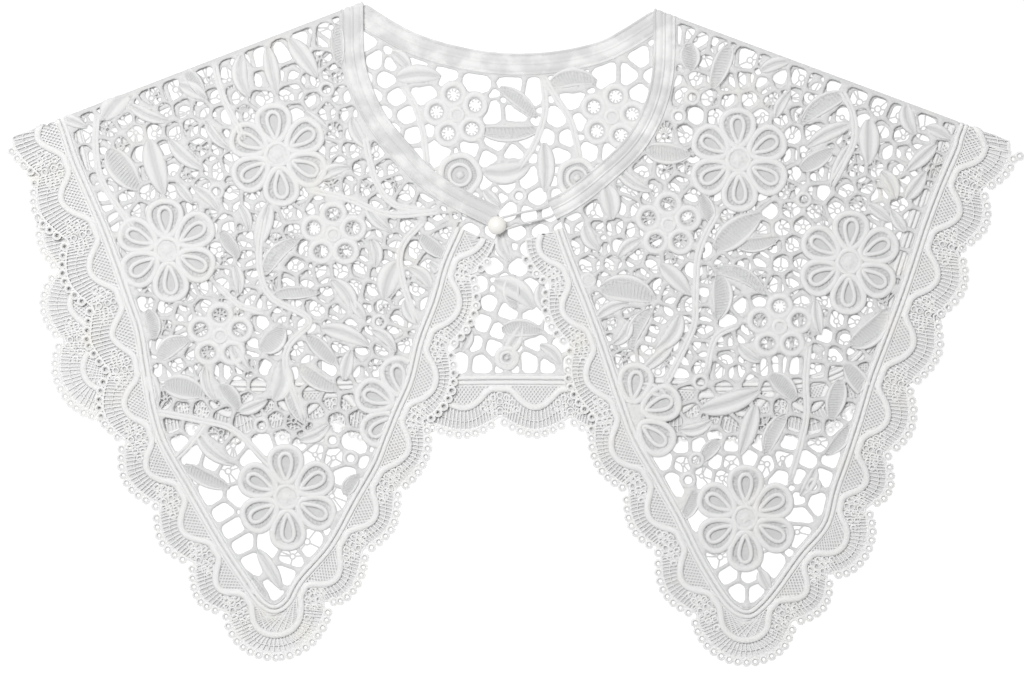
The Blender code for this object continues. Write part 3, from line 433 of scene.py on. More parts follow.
def beside(path: Array, stops: Array, widths: Array) -> Array:
    """Places at distances along a path, moved to its right-hand side by the widths."""
    along, normal = lengths(path), sideways(path)
    spot = np.stack([np.interp(stops, along, path[:, k]) for k in range(2)], axis=-1)
    side = np.stack([np.interp(stops, along, normal[:, k]) for k in range(2)], axis=-1)
    side /= np.linalg.norm(side, axis=-1, keepdims=True)
    return spot + side * np.asarray(widths)[..., None]


class Layer(Enum):
    """A layer of the laid collar: its underside's height and its share of the full relief."""

    FRONT = (FRONT_LIFT, 1.0)
    BACK = (0.0, 0.857)

    @property
    def lift(self) -> float:
        """The underside's height over the surface."""
        return self.value[0]

    @property
    def share(self) -> float:
        """What a stitch's height is multiplied by."""
        return self.value[1]


@dataclass(frozen=True)
class Bed:
    """What a piece lies on, and the folds that it turns round."""

    layer: Layer
    folds: tuple[Fold, ...] = ()
    thick: float = WALL

    @property
    def inner(self) -> float:
        """The radius of the hollow inside a fold."""
        return (FRONT_LIFT - self.thick) / 2

    @property
    def fold_run(self) -> float:
        """How much of the cloth goes round a fold, measured in the middle of its thickness."""
        return math.pi * (self.inner + self.thick / 2)

    def under(self, plan: Array) -> Array:
        """The underside's height: level, then down to the surface past the back panel's hem."""
        fall = np.clip((DRAPE_START - plan[:, 1]) / DRAPE_LENGTH, 0, 1)
        return self.layer.lift * (1 - fall * fall * (3 - 2 * fall))

    def lay(self, points: Array) -> Array:
        """Lays points (x, y, height) on this bed.

        Past a fold, the distance past it over the fold's radius is the angle turned, and the point's own
        radius is the hollow's plus its height, which shrinks to the cloth's thickness on the way round.

        Args:
            points: rows of x, y and height over the underside, in millimetres.
        Returns:
            Rows of x, y and z in millimetres.
        """
        plan, height = points[:, :2], points[:, 2] * self.layer.share
        placed = np.column_stack([plan, self.under(plan) + height])
        for fold in self.folds:
            past = (plan - fold.foot) @ fold.out
            angle = np.clip(past / (self.inner + self.thick / 2), 0, math.pi)
            spare = np.maximum(height - self.thick, 0) * np.clip(2 * angle / math.pi - 0.9, 0, 1)
            radius = self.inner + height - spare
            turned = plan + fold.out * (radius * np.sin(angle) - past)[:, None]
            level = FRONT_LIFT - self.inner + radius * np.cos(angle)
            placed = np.where((past > 0)[:, None], np.column_stack([turned, level]), placed)
        return placed


@dataclass
class Shape:
    """Points (x, y, height), four-sided and three-sided faces, and the faces' corners on the thread map."""

    points: Array
    quads: Array
    quad_map: Array
    triangles: Array = field(default_factory=lambda: np.empty((0, 3), int))
    triangle_map: Array = field(default_factory=lambda: np.empty((0, 3, 2)))


def woven(rows: Array, along: Array, closed: bool = False) -> Shape:
    """Surfaces through rows of section points: quad (i, k) joins sections i and i + 1 at corners k and k + 1.

    Args:
        rows: section points as [strand, row, corner, xyz], anticlockwise seen against the run.
        along: distance along each strand, with one more entry than rows where it is closed.
        closed: whether each strand's last row meets its first. An open strand gets flat ends.
    Returns:
        The strands as one shape.
    """
    strands, count, corners = rows.shape[:3]
    i, k = np.meshgrid(np.arange(count if closed else count - 1), np.arange(corners), indexing="ij")
    i, k = i.ravel(), k.ravel()
    here, ahead, beyond = i * corners, (i + 1) % count * corners, (k + 1) % corners
    one = np.stack([here + k, ahead + k, ahead + beyond, here + beyond], axis=1)
    across = np.broadcast_to(np.stack([k, k, k + 1, k + 1], axis=1) / corners, (strands, len(i), 4))
    run = np.stack([along[:, i], along[:, i + 1], along[:, i + 1], along[:, i]], axis=2)
    thread_map = np.stack([run, across], axis=3)
    if not closed:
        c = np.arange(corners // 2 - 1)
        cap = np.stack([c, c + 1, corners - 2 - c, corners - 1 - c], axis=1)
        one = np.vstack([one, cap, cap[:, ::-1] + (count - 1) * corners])
        ends = np.zeros((strands, 2 * len(c), 4, 2))
        ends[:, len(c) :, :, 0] = along[:, -1:, None]
        thread_map = np.concatenate([thread_map, ends], axis=1)
    quads = (one[None] + (np.arange(strands) * count * corners)[:, None, None]).reshape(-1, 4)
    return Shape(rows.reshape(-1, 3), quads, thread_map.reshape(-1, 4, 2))


def round_section(sides: int) -> Array:
    """A round cord's section: half widths to the right, and heights from 0 to 1."""
    return circle(sides, 0.5) * (1.0, 0.5) + (0.0, 0.5)


RIMMED_LEAF = np.array([
    (1.0, 0.1), (0.96, 0.72), (0.86, 1.0), (0.72, 0.96), (0.58, 0.4), (0.2, 0.25), (-0.2, 0.25),
    (-0.58, 0.4), (-0.72, 0.96), (-0.86, 1.0), (-0.96, 0.72), (-1.0, 0.1), (-0.6, 0.0), (0.6, 0.0),
])  # a padded rim round a low middle
SATIN_LEAF = np.array([
    (1.0, 0.1), (0.95, 0.6), (0.8, 0.88), (0.58, 1.0), (0.34, 0.85), (0.1, 0.3), (-0.1, 0.3),
    (-0.34, 0.82), (-0.58, 0.97), (-0.8, 0.88), (-0.95, 0.6), (-1.0, 0.1), (-0.6, 0.0), (0.6, 0.0),
])  # two padded halves on each side of a crease


class Cord(NamedTuple):
    """A round cord: its width and height, its underside's height and how many sides its section has."""

    width: float
    height: float
    base: float
    sides: int = 8


class Stitch(NamedTuple):
    """Straight threads: their underside's height at both ends, their width and height, and their arch."""

    start: float
    end: float
    width: float
    thick: float
    arch: float = 0.0


PETAL_RIM, PETAL_HEART, FLOWER_RING = Cord(3.4, 1.95, 0.1, 10), Cord(2.5, 1.75, 0.2), Cord(2.7, 1.85, 0.25)
RING_RIM, RING_MIDDLE = Cord(3.5, 1.85, 0.1, 10), Cord(2.5, 1.9, 0.2)
ROSE_RIM, ROSE_HEART = Cord(3.5, 1.95, 0.1, 10), Cord(2.3, 1.8, 0.2)
PETAL_THREAD, RING_THREAD = Stitch(0.6, 0.7, 0.75, 0.5, 0.1), Stitch(0.6, 0.4, 1.15, 0.7)
ROSE_THREAD, LEAF_THREAD = Stitch(0.6, 0.6, 0.8, 0.6, 0.1), Stitch(0.6, 0.6, 0.7, 0.6, 0.1)
STEM_CORD, SMALL_RING_CORD = Cord(1.9, 1.75, 0.3, 6), Cord(2.4, 1.6, 0.2)
WEB_RING, WEB_THREAD = Cord(1.1, 1.0, 0.15, 4), Stitch(0.25, 0.35, 1.1, 0.8, 0.05)
BRAID_CORD, BRAID_EDGE, GIMP_CORD = Cord(2.2, 1.6, 0.45), Cord(1.0, 1.0, 0.3, 6), Cord(3.5, 2.0, 0.1, 10)
FAN_MIDDLE, FAN_END = Cord(0.8, 0.95, 0.3, 6), Cord(1.2, 0.95, 0.3, 6)
FAN_THREAD = Stitch(0.3, 0.45, 0.95, 0.85, 0.2)
NET_THREADS = (Stitch(0.3, 0.3, 0.85, 0.8), Stitch(0.5, 0.5, 0.85, 0.8))  # one layer over the other
PICOT, CLUSTER_RING = Cord(1.75, 1.4, 0.1, 5), Cord(1.2, 1.3, 0.25, 5)
TAPE_STITCH = Stitch(0.66 * TAPE_THICK, 0.66 * TAPE_THICK, 0.55, 0.3, 0.06)


def loft(
    paths: Array, width: Amount, height: Amount, base: Amount, section: Array, closed: bool = False
) -> Shape:
    """Cords: a section carried along paths, as wide and as high as it says at each point.

    Corner k of row i lies at path[i] + right[i] * width[i] / 2 * section[k, 0], and at the height
    base[i] + height[i] * section[k, 1].

    Args:
        paths: one path, or many with the same number of points.
        width, height, base: the cord's size and its underside's height, for all or for each point.
        section: the corners, anticlockwise seen against the run.
        closed: whether each path's last point meets its first.
    Returns:
        The cords as one shape.
    """
    paths = paths[None] if paths.ndim == 2 else paths
    spread = paths.shape[:2]
    width, height, base = (np.broadcast_to(np.asarray(x, float), spread) for x in (width, height, base))
    side = sideways(paths, closed)
    plan = paths[:, :, None] + side[:, :, None] * (width[..., None, None] / 2 * section[:, :1])
    level = base[..., None] + height[..., None] * section[:, 1]
    rows = np.concatenate([plan, level[..., None]], axis=3)
    ahead = np.concatenate([paths, paths[:, :1]], axis=1) if closed else paths
    steps = np.linalg.norm(np.diff(ahead, axis=1), axis=2)
    along = np.concatenate([np.zeros((len(paths), 1)), np.cumsum(steps, axis=1)], axis=1)
    return woven(rows, along, closed)


def rings(centres: Array, radius: Amount, cord: Cord, sides: int) -> Shape:
    """Cords that are closed to circles, or to polygons of some sides, about the centres."""
    radius = np.broadcast_to(np.asarray(radius, float), len(centres))
    paths = centres[:, None] + radius[:, None, None] * circle(sides)
    return loft(paths, *cord[:3], round_section(cord.sides), closed=True)


def threads(starts: Array, ends: Array, stitch: Stitch) -> Shape:
    """Straight threads with four sides, from each start to its end, lifted in the middle by the arch."""
    t = np.array([0.0, 0.5, 1.0])
    paths = starts[:, None] + (ends - starts)[:, None] * t[:, None]
    base = stitch.start + (stitch.end - stitch.start) * t + stitch.arch * np.array([0.0, 1.0, 0.0])
    return loft(paths, stitch.width, stitch.thick, base, round_section(4))


def turned(rows: Array, top: Sequence[float], bottom: Sequence[float]) -> Shape:
    """A closed shape from rings of points, the lowest first.

    Args:
        rows: the points as [ring, corner, xyz], anticlockwise seen from above.
        top, bottom: the points that close the last ring and the first.
    Returns:
        The shape: four-sided faces between two rings, and a fan at each end.
    """
    count, sides = rows.shape[:2]
    i, k = (x.ravel() for x in np.meshgrid(np.arange(count - 1) * sides, np.arange(sides), indexing="ij"))
    beyond = (k + 1) % sides
    quads = np.stack([i + k, i + beyond, i + sides + beyond, i + sides + k], axis=1)
    k, beyond, last = np.arange(sides), np.roll(np.arange(sides), -1), (count - 1) * sides
    fans = np.vstack([
        np.column_stack([last + k, last + beyond, np.full(sides, count * sides)]),
        np.column_stack([beyond, k, np.full(sides, count * sides + 1)]),
    ])
    points = np.vstack([rows.reshape(-1, 3), top, bottom])
    return Shape(points, quads, points[quads][..., :2], fans, points[fans][..., :2])


def knotted_dome(centre: Array, radius: float, height: float, base: float, knots: int) -> Shape:
    """A dome of knots: its radius goes with the cosine and its height with the sine of one angle.

    Both also wave by up to a ninth, `knots` times round it, so that it reads as wrapped thread.

    Args:
        centre: the dome's middle.
        radius, height, base: its size and its underside's height.
        knots: how many knots lie round it.
    Returns:
        The closed dome.
    """
    sides, rows = 18, 5
    up = np.linspace(0, math.pi / 2, rows + 1)[:-1, None]
    wave = 1 + np.cos(knots * turns(sides) + 2.0 * up) * np.sin(2 * up) / 9
    plan = centre + (radius * np.cos(up) * wave)[..., None] * circle(sides)
    level = base + height * np.sin(up) * wave
    points = np.concatenate([plan, level[..., None]], axis=2)
    return turned(points, (*centre, base + height), (*centre, base))


@dataclass
class Work:
    """Shapes gathered into one piece of the collar."""

    bed: Bed
    shapes: list[Shape] = field(default_factory=list)

    def add(self, shape: Shape) -> None:
        """Takes one more shape."""
        self.shapes.append(shape)

    def made(self, name: str, shift: Array, finish: Material, sharp: float = 60.0) -> bpy.types.Object:
        """One mesh object from all the shapes, laid on the bed and moved into the model's frame.

        Args:
            name: the piece's name.
            shift: from the collar's plane to the model's frame, in millimetres.
            finish: the piece's material.
            sharp: edges that turn by more than this many degrees stay sharp.
        Returns:
            The object, with its thread map as UV and its height over the underside as "rise".
        """
        starts = np.cumsum([0] + [len(shape.points) for shape in self.shapes])
        points = np.vstack([shape.points for shape in self.shapes])
        quads = np.vstack([shape.quads + start for shape, start in zip(self.shapes, starts)])
        fans = np.vstack([shape.triangles + start for shape, start in zip(self.shapes, starts)])
        corners = [shape.quad_map.reshape(-1, 2) for shape in self.shapes]
        corners += [shape.triangle_map.reshape(-1, 2) for shape in self.shapes]
        laid = (self.bed.lay(points) + (*shift, 0.0)) / METRE
        mesh = bpy.data.meshes.new(name)
        mesh.from_pydata(laid.tolist(), [], quads.tolist() + fans.tolist())
        mesh.uv_layers.new(name="threads").data.foreach_set("uv", np.vstack(corners).ravel())
        # The rise also sets how much painted shade the thread finish gives each point.
        rise = mesh.attributes.new("rise", "FLOAT", "POINT")
        rise.data.foreach_set("value", np.clip(points[:, 2] / FULL_RELIEF, 0, 1))
        mesh.shade_smooth()
        mesh.set_sharp_from_angle(angle=math.radians(sharp))
        mesh.materials.append(finish)
        made = bpy.data.objects.new(name, mesh)
        bpy.context.collection.objects.link(made)
        return made


@dataclass(frozen=True)
class Nodes:
    """Short ways to add and join a material's nodes."""

    tree: bpy.types.NodeTree

    def add(self, kind: str, **settings: object) -> bpy.types.Node:
        """Adds a node and sets its properties."""
        node = self.tree.nodes.new(kind)
        for key, value in settings.items():
            setattr(node, key, value)
        return node

    def feed(self, target: Socket, source: object) -> None:
        """Joins a socket to the target, or sets the target to a number or colour."""
        if isinstance(source, Socket):
            self.tree.links.new(source, target)
        else:
            target.default_value = source

    def math(self, operation: str, first: object, second: object = 0.0) -> Socket:
        """The result of a Math node."""
        node = self.add("ShaderNodeMath", operation=operation)
        self.feed(node.inputs[0], first)
        self.feed(node.inputs[1], second)
        return node.outputs[0]

    def mix(self, factor: object, first: object, second: object) -> Socket:
        """The result of a colour Mix node."""
        node = self.add("ShaderNodeMix", data_type="RGBA")
        self.feed(node.inputs["Factor"], factor)
        self.feed(node.inputs["A"], first)
        self.feed(node.inputs["B"], second)
        return node.outputs["Result"]

    def spread(
        self, value: object, low: float, high: float, to_low: float = 0.0, to_high: float = 1.0
    ) -> Socket:
        """The result of a smooth Map Range node."""
        node = self.add("ShaderNodeMapRange", interpolation_type="SMOOTHSTEP")
        self.feed(node.inputs["Value"], value)
        for socket, number in zip(("From Min", "From Max", "To Min", "To Max"), (low, high, to_low, to_high)):
            node.inputs[socket].default_value = number
        return node.outputs["Result"]

    def noise(self, where: Socket, scale: float, detail: float = 2.0) -> Socket:
        """The value of a Noise Texture."""
        node = self.add("ShaderNodeTexNoise")
        self.fill(node, {"Vector": where, "Scale": scale, "Detail": detail})
        return node.outputs["Fac"]

    def fill(self, node: bpy.types.Node, values: dict[str, object]) -> None:
        """Feeds a node's inputs by their names."""
        for name, value in values.items():
            self.feed(node.inputs[name], value)

    def bump(self, height: Socket, strength: float, distance: float) -> Socket:
        """The normal of a Bump node."""
        node = self.add("ShaderNodeBump")
        self.fill(node, {"Height": height, "Strength": strength, "Distance": distance})
        return node.outputs["Normal"]

    def place(self) -> Socket:
        """The place on the object."""
        return self.add("ShaderNodeTexCoord").outputs["Object"]

    def thread_map(self) -> tuple[Socket, Socket]:
        """The place on the thread: the distance along it, and the share of the way round it."""
        split = self.add("ShaderNodeSeparateXYZ")
        self.feed(split.inputs[0], self.add("ShaderNodeUVMap", uv_map="threads").outputs["UV"])
        return split.outputs["X"], split.outputs["Y"]


def new_material(name: str) -> tuple[Material, Nodes, bpy.types.Node]:
    """A new material, with its nodes and its shader."""
    made = bpy.data.materials.new(name)
    made.use_nodes = True
    return made, Nodes(made.node_tree), made.node_tree.nodes["Principled BSDF"]


@dataclass(frozen=True)
class ThreadFinish:
    """Stitched cotton thread, wrapped across each cord, with painted shade: greyer low down, bright on top.
    """

    name: str
    bright: tuple[float, float, float]
    painted_shade: tuple[float, float, float]
    wrap_pitch: float = 0.55  # distance between two wraps of thread, in millimetres
    roughness: float = 0.78
    painted_shade_reach: tuple[float, float] = (0.35, 0.97)  # shares of the full relief: where the painted shade is full, and where it is gone
    bump: float = 0.8

    def material(self) -> Material:
        """The finish as a procedural material."""
        made, nodes, shader = new_material(self.name)
        place, (along, across) = nodes.place(), nodes.thread_map()
        rise = nodes.add("ShaderNodeAttribute", attribute_name="rise").outputs["Fac"]
        knots, patches = nodes.noise(place, 900.0, 3.0), nodes.noise(place, 45.0, 2.0)
        # Painted shade: the colour goes from the shade colour low down to the bright one on top, by the
        # height over the underside and a little noise.
        height = nodes.math("ADD", rise, nodes.math("MULTIPLY", nodes.math("SUBTRACT", knots, 0.5), 0.28))
        painted_shade_mix = nodes.spread(height, *self.painted_shade_reach)
        colour = nodes.mix(painted_shade_mix, (*self.painted_shade, 1.0), (*self.bright, 1.0))
        aged = tuple(channel * factor for channel, factor in zip(self.bright, (0.985, 0.97, 0.93)))
        colour = nodes.mix(nodes.spread(patches, 0.56, 0.8, 0.0, 0.6), colour, (*aged, 1.0))
        run = nodes.math("MULTIPLY", along, 2 * math.pi / self.wrap_pitch)
        slant = nodes.math("MULTIPLY", across, 2 * math.pi)
        wander = nodes.math("MULTIPLY", knots, 5.0)
        wraps = nodes.math("SINE", nodes.math("ADD", nodes.math("ADD", run, slant), wander))
        grain = nodes.math("ADD", nodes.math("MULTIPLY", wraps, 0.35), nodes.math("MULTIPLY", knots, 1.6))
        nodes.fill(shader, {
            "Base Color": colour, "Normal": nodes.bump(grain, self.bump, 0.0003), "Roughness": self.roughness,
            "Sheen Weight": 0.25, "Sheen Roughness": 0.5, "Specular IOR Level": 0.3,
        })
        return made


@dataclass(frozen=True)
class TapeFinish:
    """Plain woven cotton tape: threads along and across, a little greyer than the lace."""

    name: str
    colour: tuple[float, float, float]
    worn: tuple[float, float, float]
    thread_pitch: float = 0.6

    def material(self) -> Material:
        """The finish as a procedural material."""
        made, nodes, shader = new_material(self.name)
        place, (along, across) = nodes.place(), nodes.thread_map()
        rate = 2 * math.pi / self.thread_pitch
        weft = nodes.math("SINE", nodes.math("MULTIPLY", along, rate))
        warp = nodes.math("SINE", nodes.math("MULTIPLY", across, rate * 2 * TAPE_WIDTH))
        weave = nodes.math("MULTIPLY", nodes.math("MULTIPLY", weft, warp), 0.5)
        fuzz, patches = nodes.noise(place, 1200.0, 2.0), nodes.noise(place, 75.0, 6.0)
        colour = nodes.mix(nodes.spread(patches, 0.4, 0.62), (*self.worn, 1.0), (*self.colour, 1.0))
        normal = nodes.bump(nodes.math("ADD", weave, fuzz), 0.35, 0.00012)
        nodes.fill(shader, {"Base Color": colour, "Normal": normal, "Roughness": 0.75, "Sheen Weight": 0.2})
        return made


@dataclass(frozen=True)
class PearlFinish:
    """Pearly plastic: cream white under a clear gloss."""

    name: str
    colour: tuple[float, float, float]
    depth: tuple[float, float, float]

    def material(self) -> Material:
        """The finish as a procedural material."""
        made, nodes, shader = new_material(self.name)
        clouds = nodes.noise(nodes.place(), 350.0, 3.0)
        colour = nodes.mix(clouds, (*self.depth, 1.0), (*self.colour, 1.0))
        gloss = {"Roughness": 0.22, "Coat Weight": 0.8, "Coat Roughness": 0.06, "IOR": 1.53}
        nodes.fill(shader, {"Base Color": colour, **gloss})
        return made


@dataclass(frozen=True)
class FloorFinish:
    """A plain pale floor that shines a little from below, so that no gap shows a shadow."""

    name: str
    glow: float

    def material(self) -> Material:
        """The finish as a material."""
        made, nodes, shader = new_material(self.name)
        nodes.fill(shader, {
            "Base Color": (0.25, 0.25, 0.25, 1.0), "Roughness": 1.0, "Specular IOR Level": 0.0,
            "Emission Color": (1.0, 1.0, 1.0, 1.0), "Emission Strength": self.glow,
        })
        return made


def petal_frames(flower: Flower, count: int) -> tuple[Array, Array]:
    """The outward and the sideways directions of a flower's petals or rings."""
    angle = np.radians(flower.turn + 360 * np.arange(count) / count)
    out = np.column_stack([np.cos(angle), np.sin(angle)])
    return out, np.column_stack([-out[:, 1], out[:, 0]])


def ring_centres(flower: Flower) -> Array:
    """The middles of a ring flower's rings."""
    out, _ = petal_frames(flower, RINGS)
    return at((flower.x, flower.y)) + (RING_FLOWER_RADIUS - RING_OUTER) * out


PETAL_DISCS = ((0.54, 0.21), (0.71, 0.30))  # distance out and radius, as parts of the flower's radius
FAR = 20.0


def leaf_discs(leaf: tuple[float, ...], width: float) -> list[tuple[float, float, float]]:
    """Discs (x, y, radius) that cover a leaf of the given width."""
    foot, tip = at(leaf[:2]), at(leaf[2:4])
    places = np.linspace(0.06, 0.94, 7)
    radii = width / 2 * np.sin(np.pi * places) ** 0.7
    return [(*(foot + s * (tip - foot)), radius) for s, radius in zip(places, radii)]


def leaf_form(leaf: tuple[float, ...]) -> tuple[Array, Array, bool]:
    """A leaf's middle line, its width along it and whether it is rimmed.

    The line bends by the sine of the way along it, and the width goes with a flattened sine.

    Args:
        leaf: its foot, tip and width in pixels.
    Returns:
        The line's points, their widths and the choice.
    """
    rng = np.random.default_rng(int(sum(leaf)))
    foot, tip = at(leaf[:2]), at(leaf[2:4])
    s = np.linspace(0, 1, 17)
    run = tip - foot
    aside = np.array([-run[1], run[0]])
    path = foot + s[:, None] * run + (rng.uniform(-0.14, 0.14) * np.sin(np.pi * s))[:, None] * aside
    swell = np.sin(np.pi * np.clip(s, 0.02, 0.98) ** 0.85) ** 0.58
    return path, leaf[4] * PIXEL * rng.uniform(1.0, 1.12) * swell, leaf[4] > 13 and rng.random() < 0.6


def design_discs(design: Design) -> Array:
    """Discs (x, y, radius) that cover a panel's motifs as the solids have them."""
    discs = []
    for flower in design.flowers:
        middle = at((flower.x, flower.y))
        discs.append((*middle, FLOWER_RADIUS * 0.3))
        for out in petal_frames(flower, PETALS)[0]:
            discs += [(*(middle + FLOWER_RADIUS * away * out), FLOWER_RADIUS * r) for away, r in PETAL_DISCS]
    for flower in design.ring_flowers:
        discs.append((*at((flower.x, flower.y)), RING_OUTER))
        discs += [(*centre, RING_OUTER) for centre in ring_centres(flower)]
    for leaf in design.leaves:
        discs += leaf_discs(leaf, LEAF_WIDTH)
    for stem in design.stems:
        discs += [(*point, STEM_RADIUS) for point in smooth(at(stem), STEM_RADIUS)]
    discs += [(*at(ring), SMALL_RING) for ring in design.small_rings]
    return np.array(discs)


@dataclass
class Room:
    """How much room there is round each point of a grid: the distance to the nearest disc or gap."""

    step: float
    low: Array = field(default_factory=lambda: np.array([-262.0, -176.0]))
    values: Array = field(init=False)

    def __post_init__(self) -> None:
        """Starts with room everywhere."""
        size = (np.array([526, 354]) / self.step).astype(int)
        self.values = np.full(size, FAR)

    def window(self, low: Array, high: Array) -> tuple[tuple[slice, slice], Array]:
        """The grid's points between two corners.

        Args:
            low, high: the corners.
        Returns:
            The slices of the grid, and the points' places as [i, j, xy].
        """
        first = np.maximum(np.floor((low - self.low) / self.step).astype(int), 0)
        last = np.minimum(np.ceil((high - self.low) / self.step).astype(int) + 1, self.values.shape)
        last = np.maximum(last, first)
        i, j = np.meshgrid(np.arange(first[0], last[0]), np.arange(first[1], last[1]), indexing="ij")
        places = self.low + self.step * np.stack([i, j], axis=2)
        return (slice(first[0], last[0]), slice(first[1], last[1])), places

    def take_discs(self, discs: Array) -> None:
        """Takes the room that discs (x, y, radius) use."""
        for x, y, radius in discs:
            reach = radius + 8.0
            where, places = self.window(np.array([x, y]) - reach, np.array([x, y]) + reach)
            away = np.hypot(places[..., 0] - x, places[..., 1] - y) - radius
            self.values[where] = np.minimum(self.values[where], away)

    def take_gap(self, gap: Array, bar: float) -> None:
        """Takes the room of a gap that is cut and of the bar round it."""
        where, places = self.window(gap.min(axis=0) - 6, gap.max(axis=0) + 6)
        flat = places.reshape(-1, 2)
        away = -from_edge(flat, gap) - bar
        self.values[where] = np.minimum(self.values[where], away.reshape(places.shape[:2]))

    def read(self, points: Array) -> Array:
        """The room at any points, between the grid's values."""
        place = np.clip((points - self.low) / self.step, 0, np.array(self.values.shape) - 1.001)
        i, j = place[..., 0].astype(int), place[..., 1].astype(int)
        fx, fy = place[..., 0] - i, place[..., 1] - j
        lower = self.values[i, j] * (1 - fx) + self.values[i + 1, j] * fx
        upper = self.values[i, j + 1] * (1 - fx) + self.values[i + 1, j + 1] * fx
        return lower * (1 - fy) + upper * fy

    def slope(self, points: Array) -> Array:
        """The direction in which the room grows, measured over a millimetre to each side."""
        rises = [self.read(points + step) - self.read(points - step) for step in np.eye(2)]
        return np.column_stack(rises) / 2


@dataclass
class GroundNet:
    """A panel's ground: bars round gaps, the larger ones where the solids have theirs, small ones between."""

    outline: Array  # the edge of the lace in the solids
    edge: Array  # the edge here, which runs in under the braid and the tape and round the fold
    design: Design
    pitch: float
    seed: int
    bed: Bed
    bar: float
    small_bar: float = 1.6
    edge_margin: float = 1.7  # lace left whole along the edge in the solids
    fine_margin: float = 0.9  # and here
    least_gap: float = 0.75  # radius of the smallest gap
    large_sides: int = 20
    small_sides: int = 12
    recess: float = 0.55  # height of the ground inside a petal or leaf
    crown_pitch: float = 1.0  # distance between the points that round the bars off
    crown_height: float = 0.45
    web_share: float = 0.16  # share of the gaps that hold a web
    covered: tuple[Array, ...] = ()  # outlines of what lies over this panel, where it is closer
    rows: tuple[tuple[float, float], ...] = ((0.18, 0.02), (0.0, 0.5), (0.16, 0.84), (0.45, 1.0))
    cloth: float = 0.0  # the ground's area without its gaps, known once it is built

    def room(self, step: float, margin: float, more: Sequence = ()) -> Room:
        """The room that the motifs, the panel's margin and any more discs leave."""
        line = resampled(np.vstack([self.outline, self.outline[:1]]), 1.0)
        along_edge = np.column_stack([line, np.full(len(line), margin)])
        room = Room(step)
        room.take_discs(np.vstack([design_discs(self.design), along_edge, *more]))
        return room

    def fine_room(self) -> Room:
        """The room that is left beside the leaves in their own widths."""
        leaves = self.design.leaves + self.design.more_leaves
        discs = [disc for leaf in leaves for disc in leaf_discs(leaf, leaf[4] * PIXEL)]
        discs += [(*at((x, y)), radius * PIXEL - 0.5) for x, y, radius in self.design.roses]
        discs += [(*point, 1.6) for stem in self.design.stems for point in smooth(at(stem), 1.6)]
        return self.room(0.5, self.fine_margin, [np.array(discs)])

    def seeds(self, room: Room) -> Array:
        """Middles for the large gaps: a jittered grid that has moved off the motifs and spread out."""
        rng = np.random.default_rng(self.seed)
        low, high = self.outline.min(axis=0), self.outline.max(axis=0)
        grid = []
        for k, y in enumerate(np.arange(low[1], high[1], self.pitch * math.sqrt(0.75))):
            xs = np.arange(low[0] + (k % 2) * self.pitch / 2, high[0], self.pitch)
            grid.append(np.column_stack([xs, np.full(len(xs), y)]))
        seeds = np.vstack(grid)
        seeds += rng.uniform(-0.22, 0.22, seeds.shape) * self.pitch
        seeds = seeds[inside(seeds, self.outline) & (room.read(seeds) > -0.5)]
        for _ in range(40):
            away = seeds[:, None] - seeds
            gap = np.linalg.norm(away, axis=2) + np.eye(len(seeds)) * FAR
            push = np.clip(0.95 * self.pitch - gap, 0, None) / gap
            move = 0.3 * (away * push[..., None]).sum(axis=1)
            near = np.clip(0.42 * self.pitch - room.read(seeds), 0, None)
            seeds = seeds + move + 0.35 * near[:, None] * room.slope(seeds)
        seeds = seeds[inside(seeds, self.outline) & (room.read(seeds) > 2.0)]
        gap = np.linalg.norm(seeds[:, None] - seeds, axis=2)
        return seeds[~(np.triu(gap < 0.45 * self.pitch, 1)).any(axis=0)]

    def large_gaps(self, seeds: Array, room: Room) -> list[Array]:
        """Each seed's gap, out to the motifs and to half a bar from the halfway line to each neighbour."""
        rays = circle(self.large_sides, 0.5)
        gaps = []
        for k, seed in enumerate(seeds):
            others = np.delete(seeds, k, axis=0) - seed
            apart = np.linalg.norm(others, axis=1)
            facing = rays @ (others / apart[:, None]).T
            with np.errstate(divide="ignore"):
                limits = np.where(facing > 1e-3, (apart / 2 - self.bar / 2) / facing, np.inf).min(axis=1)
            gaps.append(self.star(seed, rays, limits, room))
        return [gap for gap in gaps if gap is not None]

    def star(self, middle: Array, rays: Array, limits: Array, room: Room) -> Array | None:
        """A gap's outline from its middle: along each ray to the limit or the end of the room, then eased."""
        reach = np.linspace(0.2, 9.0, 67)
        blocked = room.read(middle + rays[:, None] * reach[:, None]) < 0
        clear = np.where(blocked.any(axis=1), reach[np.argmax(blocked, axis=1)], reach[-1])
        out = np.minimum(limits, clear)
        eased = (np.roll(out, 1) + 2 * out + np.roll(out, -1)) / 4
        out = np.minimum(out, eased) * 0.5 + eased * 0.5
        return middle + rays * out[:, None] if out.min() > 0.45 else None

    def small_gaps(self, room: Room) -> list[Array]:
        """Gaps between the large ones, each where the most room is left."""
        rays = circle(self.small_sides, 0.5)
        _, places = room.window(room.low, room.low + (np.array(room.values.shape) - 1) * room.step)
        flat = places.reshape(-1, 2)
        low, high = self.outline.min(axis=0), self.outline.max(axis=0)
        within = np.all((flat > low) & (flat < high), axis=1)
        within[within] = inside(flat[within], self.outline)
        room.values[~within.reshape(room.values.shape)] = -1.0
        gaps = []
        while len(gaps) < 900:
            spot = np.unravel_index(np.argmax(room.values), room.values.shape)
            best = room.values[spot]
            if best < self.least_gap:
                break
            middle = room.low + room.step * np.array(spot)
            gap = self.star(middle, rays, np.full(len(rays), 2.1 * best), room)
            if gap is None:
                room.values[spot] = -1.0
                continue
            gaps.append(gap)
            room.take_gap(gap, self.small_bar)
        return gaps

    def ring_gaps(self) -> list[Array]:
        """The round holes of the ring flowers and the small rings."""
        flowers, small_rings = self.design.ring_flowers, self.design.small_rings
        holes = [(centre, RING_HOLE) for flower in flowers for centre in ring_centres(flower)]
        holes += [(at(ring), SMALL_RING * 0.42) for ring in small_rings]
        holes = [(c, r) for c, r in holes if from_edge(c[None], self.outline)[0] > r + 0.8]
        return [centre + radius * circle(self.large_sides) for centre, radius in holes]

